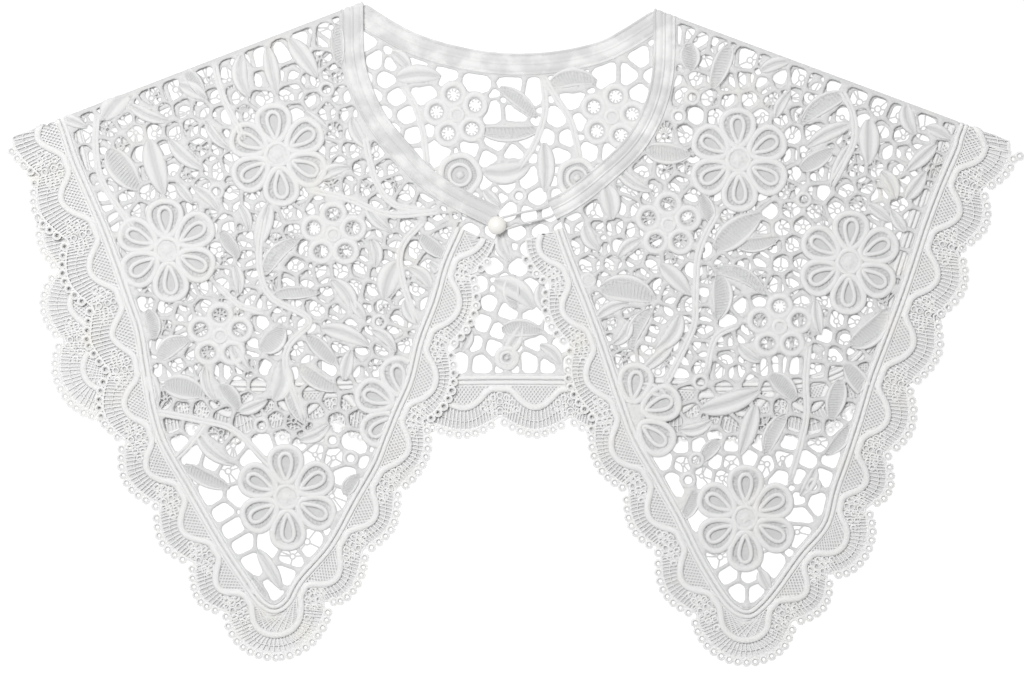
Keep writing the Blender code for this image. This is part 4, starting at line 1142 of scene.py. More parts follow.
    def gaps(self) -> list[Array]:
        """All gaps of the ground."""
        seeds = self.seeds(self.room(1.0, self.edge_margin))
        fine = self.fine_room()
        gaps = self.large_gaps(seeds, fine)
        for gap in gaps:
            fine.take_gap(gap, self.small_bar)
        small = self.small_gaps(fine)
        LOG.info("ground with %d large and %d small gaps", len(gaps), len(small))
        return gaps + small + self.ring_gaps()

    def hollows(self) -> list[Array]:
        """The outlines inside which the ground lies low: petals, leaves and roses."""
        loop = petal_loop(0.56, 0.33, 0.24, 0.3, turns(20))
        found = [
            at((flower.x, flower.y)) + FLOWER_RADIUS * (loop[:, :1] * out + loop[:, 1:] * aside)
            for flower in self.design.flowers for out, aside in zip(*petal_frames(flower, PETALS))
        ]
        for leaf in self.design.leaves + self.design.more_leaves:
            path, width, _ = leaf_form(leaf)
            side = sideways(path) * width[:, None] * 0.42
            found.append(np.vstack([path + side, (path - side)[::-1]])[:-1])
        return found + [at((x, y)) + 0.85 * r * PIXEL * circle(24) for x, y, r in self.design.roses]

    def crown_points(self, gaps: list[Array]) -> Array:
        """Points (x, y, height) over the bars: the height grows with the distance from the nearest gap."""
        rng = np.random.default_rng(self.seed)
        room = Room(0.5)
        for gap in gaps:
            room.take_gap(gap, 0.0)
        low, high = self.outline.min(axis=0), self.outline.max(axis=0)
        x, y = (np.arange(a, b, self.crown_pitch) for a, b in zip(low, high))
        plan = np.stack(np.meshgrid(x, y, indexing="ij"), axis=2).reshape(-1, 2)
        plan = plan + rng.uniform(-0.3, 0.3, plan.shape) * self.crown_pitch
        away = room.read(plan)
        plan, away = plan[away > 0.85], away[away > 0.85]
        kept = from_edge(plan, self.outline) > 0.4
        plan, away = plan[kept], away[kept]
        crown = self.crown_height * (1 - np.exp(-(away - 0.45) / 0.7))
        height = WALL + crown + rng.uniform(-0.14, 0.14, len(plan))
        for hollow in self.hollows():
            near = np.linalg.norm(plan - hollow.mean(axis=0), axis=1) < 0.6 * FLOWER_RADIUS
            hit = np.flatnonzero(near)[inside(plan[near], hollow)]
            height[hit] = self.recess + rng.uniform(-0.2, 0.2, len(hit))
        return np.column_stack([plan, height])

    def webs(self, gaps: list[Array]) -> list[Shape]:
        """Webs of thread across some gaps: spokes from a small ring to the gap's edge."""
        rng = np.random.default_rng(self.seed + 100)
        starts, ends, centres, sizes = [], [], [], []
        for gap in gaps:
            middle = gap.mean(axis=0)
            radius = math.sqrt(abs(area_of(gap)) / math.pi)
            over = any(inside(middle[None], cover)[0] for cover in self.covered)
            share = 0.85 if over else 0.0 if self.covered else self.web_share
            if radius < 1.7 or rng.random() > share:
                continue
            size = radius * rng.uniform(0.24, 0.36)
            middle = middle + rng.uniform(-0.25, 0.25, 2) * radius
            spokes = gap[np.sort(rng.choice(len(gap), rng.integers(4, 7), replace=False))]
            out = (spokes - middle) / np.linalg.norm(spokes - middle, axis=1)[:, None]
            starts.append(middle + size * out)
            ends.append(spokes + 0.3 * out)
            centres.append(middle)
            sizes.append(size)
        if not starts:
            return []
        starts, ends = np.vstack(starts), np.vstack(ends)
        self.cloth += WEB_THREAD.width * np.linalg.norm(ends - starts, axis=1).sum()
        self.cloth += WEB_RING.width * 2 * math.pi * sum(sizes)
        spokes = threads(starts, ends, WEB_THREAD)
        return [spokes, rings(np.array(centres), np.array(sizes), WEB_RING, 8)]

    def fold_points(self) -> Array:
        """Points where the ground goes round the folds, so that it bends evenly."""
        points = [np.empty((0, 3))]
        for fold in self.bed.folds:
            along = np.arange(*FOLD_REACH, 1.6)
            for share in np.linspace(0, 0.86, 6):
                plan = fold.foot + along[:, None] * fold.along + share * self.bed.fold_run * fold.out
                points.append(np.column_stack([plan, np.full(len(plan), WALL)]))
        points = np.vstack(points)
        return points[from_edge(points[:, :2], self.edge) > 0.25]

    def shapes(self) -> list[Shape]:
        """The ground as one closed plate with rounded bars, and its webs.

        Each gap is a set of loops: its outline moved out from its middle by a row's distance, at the
        row's share of the wall's thickness. The upper face spans the last loops and the lower one the first.
        """
        gaps = self.gaps()
        self.cloth = abs(area_of(self.edge)) - sum(abs(area_of(gap)) for gap in gaps)
        layers = []
        for spread, share in self.rows:
            outlines = [self.edge]
            for gap in gaps:
                out = gap - gap.mean(axis=0)
                outlines.append(gap + spread * out / np.linalg.norm(out, axis=1)[:, None])
            layers.append((outlines, share * WALL))
        count = sum(len(loop) for loop in layers[0][0])
        points = [np.column_stack([np.vstack(outlines), np.full(count, level)]) for outlines, level in layers]
        points[0][: len(self.edge), 2] = 0.0
        crown, bent = self.crown_points(gaps), self.fold_points()
        keep = np.ones(len(bent), bool)
        for loop in layers[-1][0][1:]:
            near = np.linalg.norm(bent[:, :2] - loop.mean(axis=0), axis=1) < NEAR_GAP
            keep[near] &= from_edge(bent[near, :2], loop) < -0.15
        bent = bent[keep]
        for fold in self.bed.folds:
            crown = crown[(crown[:, :2] - fold.foot) @ fold.out < -0.6]
        top_start = (len(layers) - 1) * count
        upper = spanned(layers[-1][0], np.vstack([crown, bent])[:, :2]) + top_start
        lower = spanned(layers[0][0], bent[:, :2])
        under = np.where(lower < count, lower, lower + top_start + len(crown) + len(bent))[:, ::-1]
        points = np.vstack([*points, crown, bent, bent * (1, 1, 0)])
        quads, start = [], 0
        for loop in layers[0][0]:
            ring = start + np.arange(len(loop))
            ahead = np.roll(ring, -1)
            for k in range(len(layers) - 1):
                below, above = k * count, (k + 1) * count
                quads.append(np.column_stack([ring + below, ahead + below, ahead + above, ring + above]))
                if start:
                    quads[-1] = quads[-1][:, ::-1]
            start += len(loop)
        quads = np.vstack(quads)
        fans = np.vstack([upper, under])
        plate = Shape(points, quads, points[quads][..., :2], fans, points[fans][..., :2])
        return [plate, *self.webs(gaps)]


def spanned(loops: list[Array], extra: Array) -> Array:
    """Triangles between closed loops, the first of them outermost, over their points and the extra ones.

    Args:
        loops: the outer edge, then the edge of each gap.
        extra: more points that the triangles use.
    Returns:
        Corners of the triangles, anticlockwise, as places in all the points.
    """
    points = np.vstack([*loops, extra])
    edges, start = [], 0
    for loop in loops:
        ring = start + np.arange(len(loop))
        edges += list(zip(ring.tolist(), np.roll(ring, -1).tolist()))
        start += len(loop)
    found, _, faces, origins, _, _ = delaunay_2d_cdt([Vector(p) for p in points], edges, [], 0, 1e-5)
    lost = [k for k, origin in enumerate(origins) if not origin]
    if lost:
        LOG.warning("%d crossings between gaps", len(lost))
        away = np.linalg.norm(np.array(found)[lost][:, None] - points[None], axis=2)
        for k, near in zip(lost, np.argmin(away, axis=1)):
            origins[k] = [int(near)]
    faces = np.array([origin[0] for origin in origins])[np.array(faces)]
    middles = points[faces].mean(axis=1)
    kept = inside(middles, loops[0])
    for loop in loops[1:]:
        near = np.linalg.norm(middles - loop.mean(axis=0), axis=1) < NEAR_GAP
        kept[near] &= ~inside(middles[near], loop)
    a, b, c = (points[faces[:, k]] for k in range(3))
    twice = cross(b - a, c - a)
    faces[twice < 0] = faces[twice < 0][:, ::-1]
    return faces[kept & (np.abs(twice) > 1e-6)]


def petal_loop(middle: float, reach: float, half: float, taper: float, t: Array) -> Array:
    """A petal's loop, as parts of the flower's radius: out along the petal, and to its side.

    The way out is middle - reach cos t, and the way aside is half sin t (1 - taper cos t), which is
    narrow at the foot and broad and round at the end.

    Args:
        middle, reach: the loop runs from middle - reach to middle + reach.
        half: about half its width.
        taper: how much narrower the foot is.
        t: the angle of each point, from 0 at the foot.
    Returns:
        Rows of out and aside.
    """
    return np.column_stack([middle - reach * np.cos(t), half * np.sin(t) * (1 - taper * np.cos(t))])


@dataclass
class Motifs:
    """The raised flowers, ring flowers, leaves, stems and small rings of a panel."""

    design: Design
    outline: Array
    work: Work
    seed: int
    overlap: float = 1.2  # how far a cut motif runs on under the braid or the tape
    rng: np.random.Generator = field(init=False)

    def __post_init__(self) -> None:
        """Seeds the small differences between motifs."""
        self.rng = np.random.default_rng(self.seed)

    def clear(self, path: Array) -> Array:
        """Which points of a path lie on the panel."""
        return from_edge(path, self.outline) > -self.overlap

    def cord(self, path: Array, cord: Cord, closed: bool = True) -> None:
        """Adds a cord along a path, in open runs where the panel's edge cuts it."""
        clear = self.clear(path)
        section = round_section(cord.sides)
        if clear.all():
            ease = np.ones(len(path))
            if not closed:
                ends = np.minimum(np.arange(len(path)), np.arange(len(path))[::-1])
                ease = np.clip(0.55 + 0.25 * ends, 0, 1)
            self.work.add(loft(path, cord.width * ease, cord.height * ease, cord.base, section, closed))
            return
        if closed and clear.any():
            first = int(np.argmin(clear))
            path, clear = np.roll(path, -first, axis=0), np.roll(clear, -first)
        marks = np.flatnonzero(np.diff(np.concatenate([[0], clear.astype(int), [0]])))
        for start, stop in zip(marks[::2], marks[1::2]):
            if stop - start > 2:
                self.work.add(loft(path[start:stop], *cord[:3], section))

    def between(self, inner: Array, outer: Array, stitch: Stitch) -> None:
        """Adds threads from each inner point to its outer one, where both lie on the panel."""
        kept = self.clear(inner) & self.clear(outer)
        self.work.add(threads(inner[kept], outer[kept], stitch))

    def flower(self, flower: Flower) -> None:
        """Adds a flower: six petals, each a padded cord round a teardrop, about a ring with a dome."""
        middle = at((flower.x, flower.y))
        for out, aside in zip(*petal_frames(flower, PETALS)):
            lean, long, broad = self.rng.uniform(-0.035, 0.035), *self.rng.uniform(0.98, 1.05, 2)
            across = aside + lean * out
            ahead = (out - lean * aside) * long

            def petal(loop: Array, ahead: Array = ahead, across: Array = across * broad) -> Array:
                """Places of a petal's points in the collar's plane."""
                return middle + FLOWER_RADIUS * (loop[:, :1] * ahead + loop[:, 1:] * across)

            self.cord(petal(petal_loop(0.6, 0.345, 0.285, 0.26, turns(44))), PETAL_RIM)
            self.cord(petal(petal_loop(0.57, 0.25, 0.105, 0.5, turns(30))), PETAL_HEART)
            t = np.linspace(0.13, 0.87, 17) * 2 * np.pi
            inner, outer = petal_loop(0.57, 0.27, 0.14, 0.5, t), petal_loop(0.6, 0.32, 0.25, 0.26, t)
            self.between(petal(inner), petal(outer), PETAL_THREAD)
        if from_edge(middle[None], self.outline)[0] > 2:
            wander = self.rng.uniform(0.97, 1.03, (28, 1))
            self.cord(middle + 5.6 * circle(28) * wander, FLOWER_RING)
            self.work.add(knotted_dome(middle, 3.6, 1.5, 0.6, 5))

    def ring_flower(self, flower: Flower) -> None:
        """Adds a ring flower: five rings round a smaller one."""
        for centre in ring_centres(flower):
            squash = self.rng.uniform(0.94, 1.05, 2)
            self.cord(centre + (RING_OUTER + RING_HOLE) / 2 * circle(30) * squash, RING_RIM)
            rays = circle(9, self.rng.uniform(0, 1))
            reach = self.rng.uniform(1.2, 2.4, (9, 1))
            self.work.add(threads(centre + 3.9 * rays, centre + reach * rays, RING_THREAD))
        self.cord(at((flower.x, flower.y)) + 3.1 * circle(15), RING_MIDDLE)

    def leaf(self, leaf: tuple[float, ...]) -> None:
        """Adds a leaf: a rimmed one with threads across its hollow, or two padded halves beside a crease."""
        path, width, rimmed = leaf_form(leaf)
        clear = self.clear(path)
        if clear.sum() < 5:
            return
        height = 1.9 * (0.45 + 0.55 * width / width.max())
        section = RIMMED_LEAF if rimmed else SATIN_LEAF
        self.work.add(loft(path[clear], width[clear], height[clear], 0.2, section))
        if rimmed:
            side = sideways(path) * width[:, None] * 0.31
            steps = np.flatnonzero(clear)[2:-1]
            near, far = path[steps - 1] - side[steps - 1], path[steps] + side[steps]
            self.work.add(threads(near, far, LEAF_THREAD))

    def stem(self, stem: tuple[tuple[float, float], ...]) -> None:
        """Adds a stem of two cords side by side."""
        path = smooth(at(stem), 1.6)
        for aside in (0.85, -0.85):
            self.cord(path + aside * sideways(path), STEM_CORD, closed=False)

    def small_ring(self, ring: tuple[float, float]) -> None:
        """Adds a small padded ring."""
        self.cord(at(ring) + SMALL_RING * 0.68 * circle(20), SMALL_RING_CORD)

    def rose(self, rose: tuple[float, float, float]) -> None:
        """Adds a rose: a broad ring round a thinner one, with short threads between them and a dome."""
        middle, size = at(rose[:2]), rose[2] * PIXEL
        wave = 1 + 0.02 * np.cos(5 * turns(36))[:, None]
        self.cord(middle + (size - 1.8) * circle(36) * wave, ROSE_RIM)
        self.cord(middle + 0.46 * size * circle(18), ROSE_HEART)
        self.work.add(knotted_dome(middle, 0.2 * size, 1.3, 0.4, 4))
        self.between(middle + 0.5 * size * circle(36), middle + (size - 2.8) * circle(36), ROSE_THREAD)

    def build(self) -> None:
        """Adds every motif of the design."""
        design = self.design
        for add, places in (
            (self.rose, design.roses),
            (self.stem, design.stems),
            (self.leaf, design.leaves + design.more_leaves),
            (self.flower, design.flowers),
            (self.ring_flower, design.ring_flowers),
            (self.small_ring, design.small_rings),
        ):
            for place in places:
                add(place)


@dataclass
class Border:
    """The line of a panel's braid, with its scallops: whole phases are crests and halves are notches."""

    path: Array
    crests: tuple[tuple[float, float], ...]
    shares: tuple[float, float]
    spare: float = 8.0  # straight stretch added at both ends

    def __post_init__(self) -> None:
        """Works out where each scallop's crest lies along the braid."""
        self.line = longer(self.path, self.spare)
        self.whole = lengths(self.path)[-1]
        stops = np.array([nearest_place(self.path, point) for point in at(self.crests)])
        steps = np.diff(stops)
        self.stops = np.concatenate([[stops[0] - steps[0]], stops, [stops[-1] + steps[-1]]])

    def phase(self, along: Array) -> Array:
        """Which scallop each place along the braid is in."""
        return np.interp(along, self.stops, np.arange(len(self.stops)))

    def share(self, along: Array) -> Array:
        """The edging's width there, as a part of its full width."""
        return np.interp(along, (0, self.whole), self.shares)

    def gimp(self, along: Array) -> Array:
        """The wavy cord's distance from the braid's middle: it keeps to the braid round each notch."""
        near = along[..., None] + np.linspace(-2.4, 2.4, 7)
        wave = (np.clip((np.cos(2 * np.pi * self.phase(near)) + 0.5) / 1.5, 0, 1) ** 0.75).mean(axis=-1)
        return GIMP_NEAR + (GIMP_FAR - GIMP_NEAR) * wave * np.sqrt(self.share(along))

    def rim(self, along: Array) -> Array:
        """The scalloped edge's distance from the braid's middle."""
        crest = np.abs(np.cos(np.pi * self.phase(along)))
        return self.share(along) * (NOTCH_WIDTH + (SCALLOP_WIDTH - NOTCH_WIDTH) * crest)

    def place(self, along: Array, aside: Array | float) -> Array:
        """Places beside the braid, outwards to its right."""
        along = np.asarray(along, float)
        return beside(self.line, along + self.spare, np.broadcast_to(aside, along.shape))

    def even(self, first: float, last: float, aside: Array | None, pitch: float) -> Array:
        """Stops between two places at which a line beside the braid has even steps.

        Args:
            first, last: the two places along the braid.
            aside: the line's distance at each half millimetre between them.
            pitch: the step.
        Returns:
            Distances along the braid.
        """
        stops = self.fine(first, last)
        run = lengths(self.place(stops, 0.0 if aside is None else aside))
        count = max(2, round(run[-1] / pitch) + 1)
        return np.interp(np.linspace(0, run[-1], count), run, stops)

    @staticmethod
    def fine(first: float, last: float) -> Array:
        """Stops about half a millimetre apart between two places."""
        return np.linspace(first, last, round((last - first) / 0.5) + 1)


@dataclass
class Edging:
    """A strip of the scalloped edging: a braid, a wavy gimp, a fan of threads and a row of picot rings."""

    node: str
    border: Border
    first: float
    last: float
    work: Work  # the cords
    fine: Work  # the threads of the net and the fan
    seed: int
    seams: tuple[bool, bool] = (False, False)  # whether a strip goes on past the start, and past the end
    picot_outer: float = 2.35
    picot_radius: float = 1.65
    picot_pitch: float = 4.75
    spoke_pitch: float = 1.7
    picot_trims: tuple[float, float] = (7.0, 7.0)  # left off at the two ends, beside a fold or the neck
    spare: float = 20.0  # how far a slanting thread may pass a seam

    def within(self, along: Array) -> Array:
        """The same places along the braid, kept off the ends where nothing goes on."""
        low, high = self.first - self.spare * self.seams[0], self.last + self.spare * self.seams[1]
        return np.clip(along, low, high)

    def between(self, aside: Array, pitch: float) -> Array:
        """Even stops on a line beside the braid, none of them on a seam."""
        stops = self.border.even(self.first, self.last, aside, pitch)
        return (stops[1:] + stops[:-1]) / 2

    def line(self, along: Array, aside: Amount, cord: Cord) -> None:
        """Adds a cord beside the braid."""
        self.work.add(loft(self.border.place(along, aside), *cord[:3], round_section(cord.sides)))

    def braid(self) -> None:
        """Adds the braid: a flat band, two cords on it and a thin cord along each edge."""
        along = self.border.even(self.first, self.last, None, 1.3)
        band = np.array([(1.0, 0.5), (0.97, 1.0), (-0.97, 1.0), (-1.0, 0.5), (-0.97, 0.0), (0.97, 0.0)])
        self.work.add(loft(self.border.place(along, 0.0), BRAID_WIDTH + 0.6, 0.7, 0.0, band))
        for aside, cord in ((1.25, BRAID_CORD), (-1.25, BRAID_CORD), (2.75, BRAID_EDGE), (-2.75, BRAID_EDGE)):
            self.line(along, aside, cord)

    def gimp(self) -> None:
        """Adds the wavy gimp, a padded cord that nears the braid at each notch."""
        fine = self.border.fine(self.first, self.last)
        along = self.border.even(self.first, self.last, self.border.gimp(fine), 1.0)
        self.line(along, self.border.gimp(along), GIMP_CORD)

    def band(self, along: Array, inner: Array, outer: Array, height: float) -> None:
        """Adds a closed flat strip between two distances from the braid."""
        low, high = self.border.place(along, inner), self.border.place(along, outer)
        plan = np.stack([high, low, low, high], axis=1)
        level = np.broadcast_to([[height], [height], [0.0], [0.0]], (len(along), 4, 1))
        self.fine.add(woven(np.concatenate([plan, level], axis=2)[None], (along - along[0])[None]))

    def net(self) -> None:
        """Adds the net by the braid: a thin ground out to the gimp, and threads that slant both ways."""
        stops = self.border.even(self.first, self.last, None, 1.5)
        self.band(stops, np.full(len(stops), 2.2), self.border.gimp(stops), 0.25)
        starts = self.between(np.full(len(self.border.fine(self.first, self.last)), 5.0), 1.8)
        aside = np.linspace(2.3, GIMP_FAR, 26)
        for slant, stitch in zip((0.75, -0.75), NET_THREADS):
            along = self.within(starts[:, None] + slant * (aside - aside[0]))
            short = aside[None] < self.border.gimp(along)
            reach = short.sum(axis=1) - 1
            kept = reach > 2
            kept &= np.abs(along[:, 8] - along[:, 0]) > 0.1
            end = np.take_along_axis(along, np.maximum(reach, 0)[:, None], axis=1)[kept, 0]
            begin, far = along[kept, 0], aside[reach[kept]]
            self.fine.add(threads(self.border.place(begin, aside[0]), self.border.place(end, far), stitch))

    def fan(self) -> None:
        """Adds the fan of fine threads from the gimp to the picots, over a thin ground by the gimp."""
        border = self.border
        fine = border.fine(self.first, self.last)
        reach = border.rim(fine) - 2 * self.picot_outer + 0.3
        span = reach - border.gimp(fine)
        stops = border.even(self.first, self.last, (border.gimp(fine) + reach) / 2, 1.5)
        inner = np.interp(stops, fine, border.gimp(fine) + 0.5)
        self.band(stops, inner, np.interp(stops, fine, border.gimp(fine) + 0.94 * span), 0.25)
        along = self.between(border.gimp(fine) + span / 2, self.spoke_pitch)
        phase = border.phase(along)
        kept = np.abs(np.cos(np.pi * phase)) > 0.2
        along, phase = along[kept], phase[kept]
        ends = self.within(along + 2.4 * np.sin(2 * np.pi * phase))
        near = border.place(along, border.gimp(along) + 1.2)
        far = border.place(ends, border.rim(ends) - 2 * self.picot_outer + 0.4)
        self.fine.add(threads(near, far, FAN_THREAD))
        for share, cord in ((0.6, FAN_MIDDLE), (1.0, FAN_END)):
            self.line(stops, np.interp(stops, fine, border.gimp(fine) + share * span), cord)

    def picots(self) -> None:
        """Adds the row of picot rings along the scalloped edge."""
        border = self.border
        first, last = (self.picot_trims[k] * (not self.seams[k]) for k in range(2))
        fine = border.fine(self.first + first, self.last - last)
        curve = border.place(fine, border.rim(fine))
        run = resampled(curve, self.picot_pitch / 8)
        centres = (run - self.picot_outer * sideways(run))[4::8]
        size = self.picot_radius * np.random.default_rng(self.seed).uniform(0.94, 1.05, len(centres))
        self.work.add(rings(centres, size, PICOT, 10))

    def clusters(self) -> None:
        """Adds the small rings that fill each notch between the gimp and the picots."""
        border = self.border
        phases = np.arange(0.5, len(border.stops))
        notches = np.interp(phases, border.phase(border.stops), border.stops)
        notches = notches[(notches > self.first + 4) & (notches < self.last - 4)]
        spots = np.array([
            (0.0, 0.08), (-3.4, 0.2), (3.4, 0.2), (0.0, 0.36), (-6.2, 0.42), (-2.9, 0.55), (2.9, 0.55),
            (6.2, 0.42), (0.0, 0.78), (-5.2, 0.78), (5.2, 0.78), (-2.6, 0.93), (2.6, 0.93), (-8.4, 0.72),
            (8.4, 0.72),
        ])
        along = (notches[:, None] + spots[:, 0]).ravel()
        low = border.gimp(notches)[:, None] + 2.2
        high = border.rim(notches)[:, None] - 2 * self.picot_outer
        aside = (low + spots[:, 1] * (high - low)).ravel()
        kept = (along > self.first + 2.5) & (along < self.last - 2.5)
        if kept.any():
            self.work.add(rings(border.place(along, aside)[kept], 1.35, CLUSTER_RING, 8))

    def build(self) -> None:
        """Adds all parts of the strip."""
        for add in (self.net, self.fan, self.braid, self.gimp, self.picots, self.clusters):
            add()

    def cut(self) -> tuple[float, float, float]:
        """The strip's greatest length and width, along and across its braid, and its area, in millimetres."""
        fine = self.border.fine(self.first, self.last)
        rim = self.border.rim(fine)
        outer, inner = self.border.place(fine, rim), self.border.place(fine, -BRAID_WIDTH / 2)
        crests = lengths(self.border.place(fine, np.full(len(fine), rim.max())))[-1]
        area = abs(area_of(np.vstack([outer, inner[::-1]])))
        return max(float(crests), self.last - self.first), float(rim.max()) + BRAID_WIDTH / 2, area


TAPE_SECTION = np.array([
    (1.0, 0.5), (0.98, 0.85), (0.93, 1.0), (0.84, 0.97), (0.74, 0.62), (0.62, 0.86), (0.44, 1.0),
    (0.26, 0.88), (0.13, 0.7), (0.0, 0.95), (-0.13, 0.7), (-0.26, 0.88), (-0.44, 1.0), (-0.62, 0.86),
    (-0.74, 0.62), (-0.84, 0.97), (-0.93, 1.0), (-0.98, 0.85), (-1.0, 0.5), (-0.96, 0.12), (-0.85, 0.0),
    (0.85, 0.0), (0.96, 0.12), (1.0, 0.3),
])  # two turned-in edges with a line of stitches beside each, and the fold between them


@dataclass
class NeckTape:
    """A folded tape that binds part of the neck, with a line of stitches near each edge."""

    node: str
    pixels: tuple[tuple[float, float], ...]
    bed: Bed
    starts: Fold | None
    ends: Fold | None
    step: float = 2.0

    def rows(self) -> tuple[Array, Array]:
        """The tape's sections, cut off along the folds that it meets, and the path of its middle."""
        path = resampled(smooth(at(self.pixels), TAPE_STEP), self.step)
        path = smooth(path[::4], self.step) if len(path) > 12 else path
        side = sideways(path)
        plan = path[:, None] + side[:, None] * (TAPE_WIDTH / 2 * TAPE_SECTION[:, :1])
        level = np.broadcast_to(TAPE_THICK * TAPE_SECTION[:, 1], plan.shape[:2])
        for index, fold in ((0, self.starts), (-1, self.ends)):
            if fold is None:
                continue
            direction = unit(path[1] - path[0]) if index == 0 else unit(path[-1] - path[-2])
            inset = 0.0 if self.bed.folds else SEAM
            behind = (plan[index] - fold.foot) @ fold.out + inset
            shift = -(behind / (direction @ fold.out))[:, None] * direction
            ease = np.clip(1 - np.arange(len(plan)) / 5, 0, 1)
            ease = ease if index == 0 else ease[::-1]
            plan = plan + ease[:, None, None] * shift
        rows = np.concatenate([plan, level[..., None]], axis=2)
        for fold in self.bed.folds:
            past = np.linspace(1, 0, 9)[:-1] * self.bed.fold_run
            turned = np.broadcast_to(rows[0], (len(past), *rows[0].shape)).copy()
            turned[..., :2] += past[:, None, None] * fold.out
            rows = np.concatenate([turned, rows])
        return rows, path

    def build(self) -> Work:
        """The tape and its stitches."""
        work = Work(self.bed)
        rows, path = self.rows()
        run = lengths(rows[:, 7, :2])
        work.add(woven(rows[None], run[None]))
        for aside in (0.74, -0.74):
            line = longer(path, 0.01) + sideways(longer(path, 0.01)) * TAPE_WIDTH / 2 * aside
            stitches = resampled(line, 1.05)[3:-3]
            pairs = len(stitches) // 2
            work.add(threads(stitches[0 : 2 * pairs : 2], stitches[1 : 2 * pairs : 2], TAPE_STITCH))
        return work


@dataclass
class PearlButton:
    """The round pearly button that closes the neck."""

    radius: float = 4.6
    shank_radius: float = 1.5
    shank_height: float = 1.9
    dome_height: float = 3.0
    base: float = FRONT_LIFT + TAPE_THICK + SEAM
    sides: int = 40

    def build(self) -> Work:
        """The button as one turned shape: the profile (radius, height) carried round a circle."""
        dome = self.base + self.shank_height
        arc = np.linspace(0, np.pi / 2, 14)[:-1]
        lip = np.linspace(-np.pi / 2, 0, 5)[:-1]
        low = [(self.shank_radius, self.base), (self.shank_radius, dome - 0.1), (self.radius * 0.6, dome)]
        low += [(self.radius * 0.86 + 0.64 * math.cos(a), dome + 0.5 + 0.5 * math.sin(a)) for a in lip]
        high = [(self.radius * math.cos(a), dome + 0.5 + self.dome_height * math.sin(a)) for a in arc]
        profile = np.array(low + high)
        middle, share = at(BUTTON), Layer.BACK.share
        plan = middle + profile[:, :1, None] * circle(self.sides)
        level = np.broadcast_to(profile[:, 1:, None] / share, (*plan.shape[:2], 1))
        top, bottom = (dome + 0.5 + self.dome_height) / share, self.base / share
        work = Work(Bed(Layer.BACK))
        work.add(turned(np.concatenate([plan, level], axis=2), (*middle, top), (*middle, bottom)))
        return work


@dataclass
class ButtonLoop:
    """The cord loop from the right tape's end round the button's shank."""

    cord: float = 1.2
    reach: float = 3.0

    def route(self) -> Array:
        """The loop's middle line, by the places where it leaves the tape and the bend round the shank."""
        end, before = at(RIGHT_TAPE)[-1], at(RIGHT_TAPE)[-2]
        out = unit(end - before)
        aside = np.array([-out[1], out[0]])
        foot = end + SEAM * out
        middle = at(BUTTON)
        run = unit(middle - foot)
        across = np.array([-run[1], run[0]])
        low = FRONT_LIFT + TAPE_THICK / 2
        high = FRONT_LIFT + TAPE_THICK + SEAM + self.cord / 2 + 0.2
        turn = np.radians(np.linspace(-80, 80, 7))
        route = [(*(foot - 2.4 * aside), low), (*(foot - 2.6 * aside + 3 * out), low + 0.5)]
        route += [(*((foot + middle) / 2 - 2.8 * across), high)]
        route += [(*(middle + self.reach * (math.cos(a) * run + math.sin(a) * across)), high) for a in turn]
        route += [(*((foot + middle) / 2 + 2.8 * across), high)]
        route += [(*(foot + 2.6 * aside + 3 * out), low + 0.5), (*(foot + 2.4 * aside), low)]
        return smooth(np.array(route), 0.7)

    def build(self) -> Work:
        """The cord as a tube round its route."""
        path = self.route()
        tangent = np.gradient(path, axis=0)
        tangent /= np.linalg.norm(tangent, axis=1)[:, None]
        side = np.cross(tangent, (0, 0, 1))
        side /= np.linalg.norm(side, axis=1)[:, None]
        up = np.cross(side, tangent)
        across, upwards = circle(10).T[..., None]
        ring = across * side[:, None] + upwards * up[:, None]
        rows = path[:, None] + self.cord / 2 * ring
        rows[..., 2] /= Layer.BACK.share
        work = Work(Bed(Layer.BACK))
        work.add(woven(rows[None], lengths(path)[None]))
        return work


def fold_line(shoulder: tuple[tuple[float, float], tuple[float, float]]) -> Fold:
    """The shoulder fold from its neck end and its outer end."""
    neck, outer = at(shoulder)
    along = unit(outer - neck)
    out = np.array([-along[1], along[0]])
    return Fold(neck, along, out if out[1] > 0 else -out)


def fold_path(fold: Fold, inset: float = 0.0) -> Array:
    """A long straight path on the fold, from the neck outwards."""
    ends = fold.foot + np.array(FOLD_REACH)[:, None] * fold.along - inset * fold.out
    return resampled(ends, 9.0)


def braid_path(pixels: tuple, starts: Fold | None, ends: Fold | None, inset: float = 0.0) -> Array:
    """A braid's middle, square to the folds that it starts or ends at."""
    points = at(pixels)

    def on_fold(fold: Fold, point: Array) -> Array:
        """The nearest place to a point on the line beside the fold."""
        return fold.foot + fold.along * ((point - fold.foot) @ fold.along) - inset * fold.out

    if starts:
        points[0] = on_fold(starts, points[0])
        points = np.insert(points, 1, points[0] - 6.0 * starts.out, axis=0)
    if ends:
        points[-1] = on_fold(ends, points[-1])
        points = np.insert(points, -1, points[-1] - 6.0 * ends.out, axis=0)
    return smooth(points, 0.5)


def panel_rim(path: Array, strips: Sequence[tuple[float, float]], grown: float = 0.0) -> Array:
    """The edge of a panel's lace beside its braid, with points where the braid's strips have theirs."""
    stops = [np.array([0.0])]
    for first, last in strips:
        stops.append(np.linspace(first, last, max(2, round((last - first) / BRAID_STEP) + 1)))
    stops = np.concatenate([*stops, lengths(path)[-1:]])
    stops = stops[np.concatenate([[True], np.diff(stops) > 0.5])]
    return beside(path, stops, np.full(len(stops), -BRAID_WIDTH / 2 - SEAM + grown))


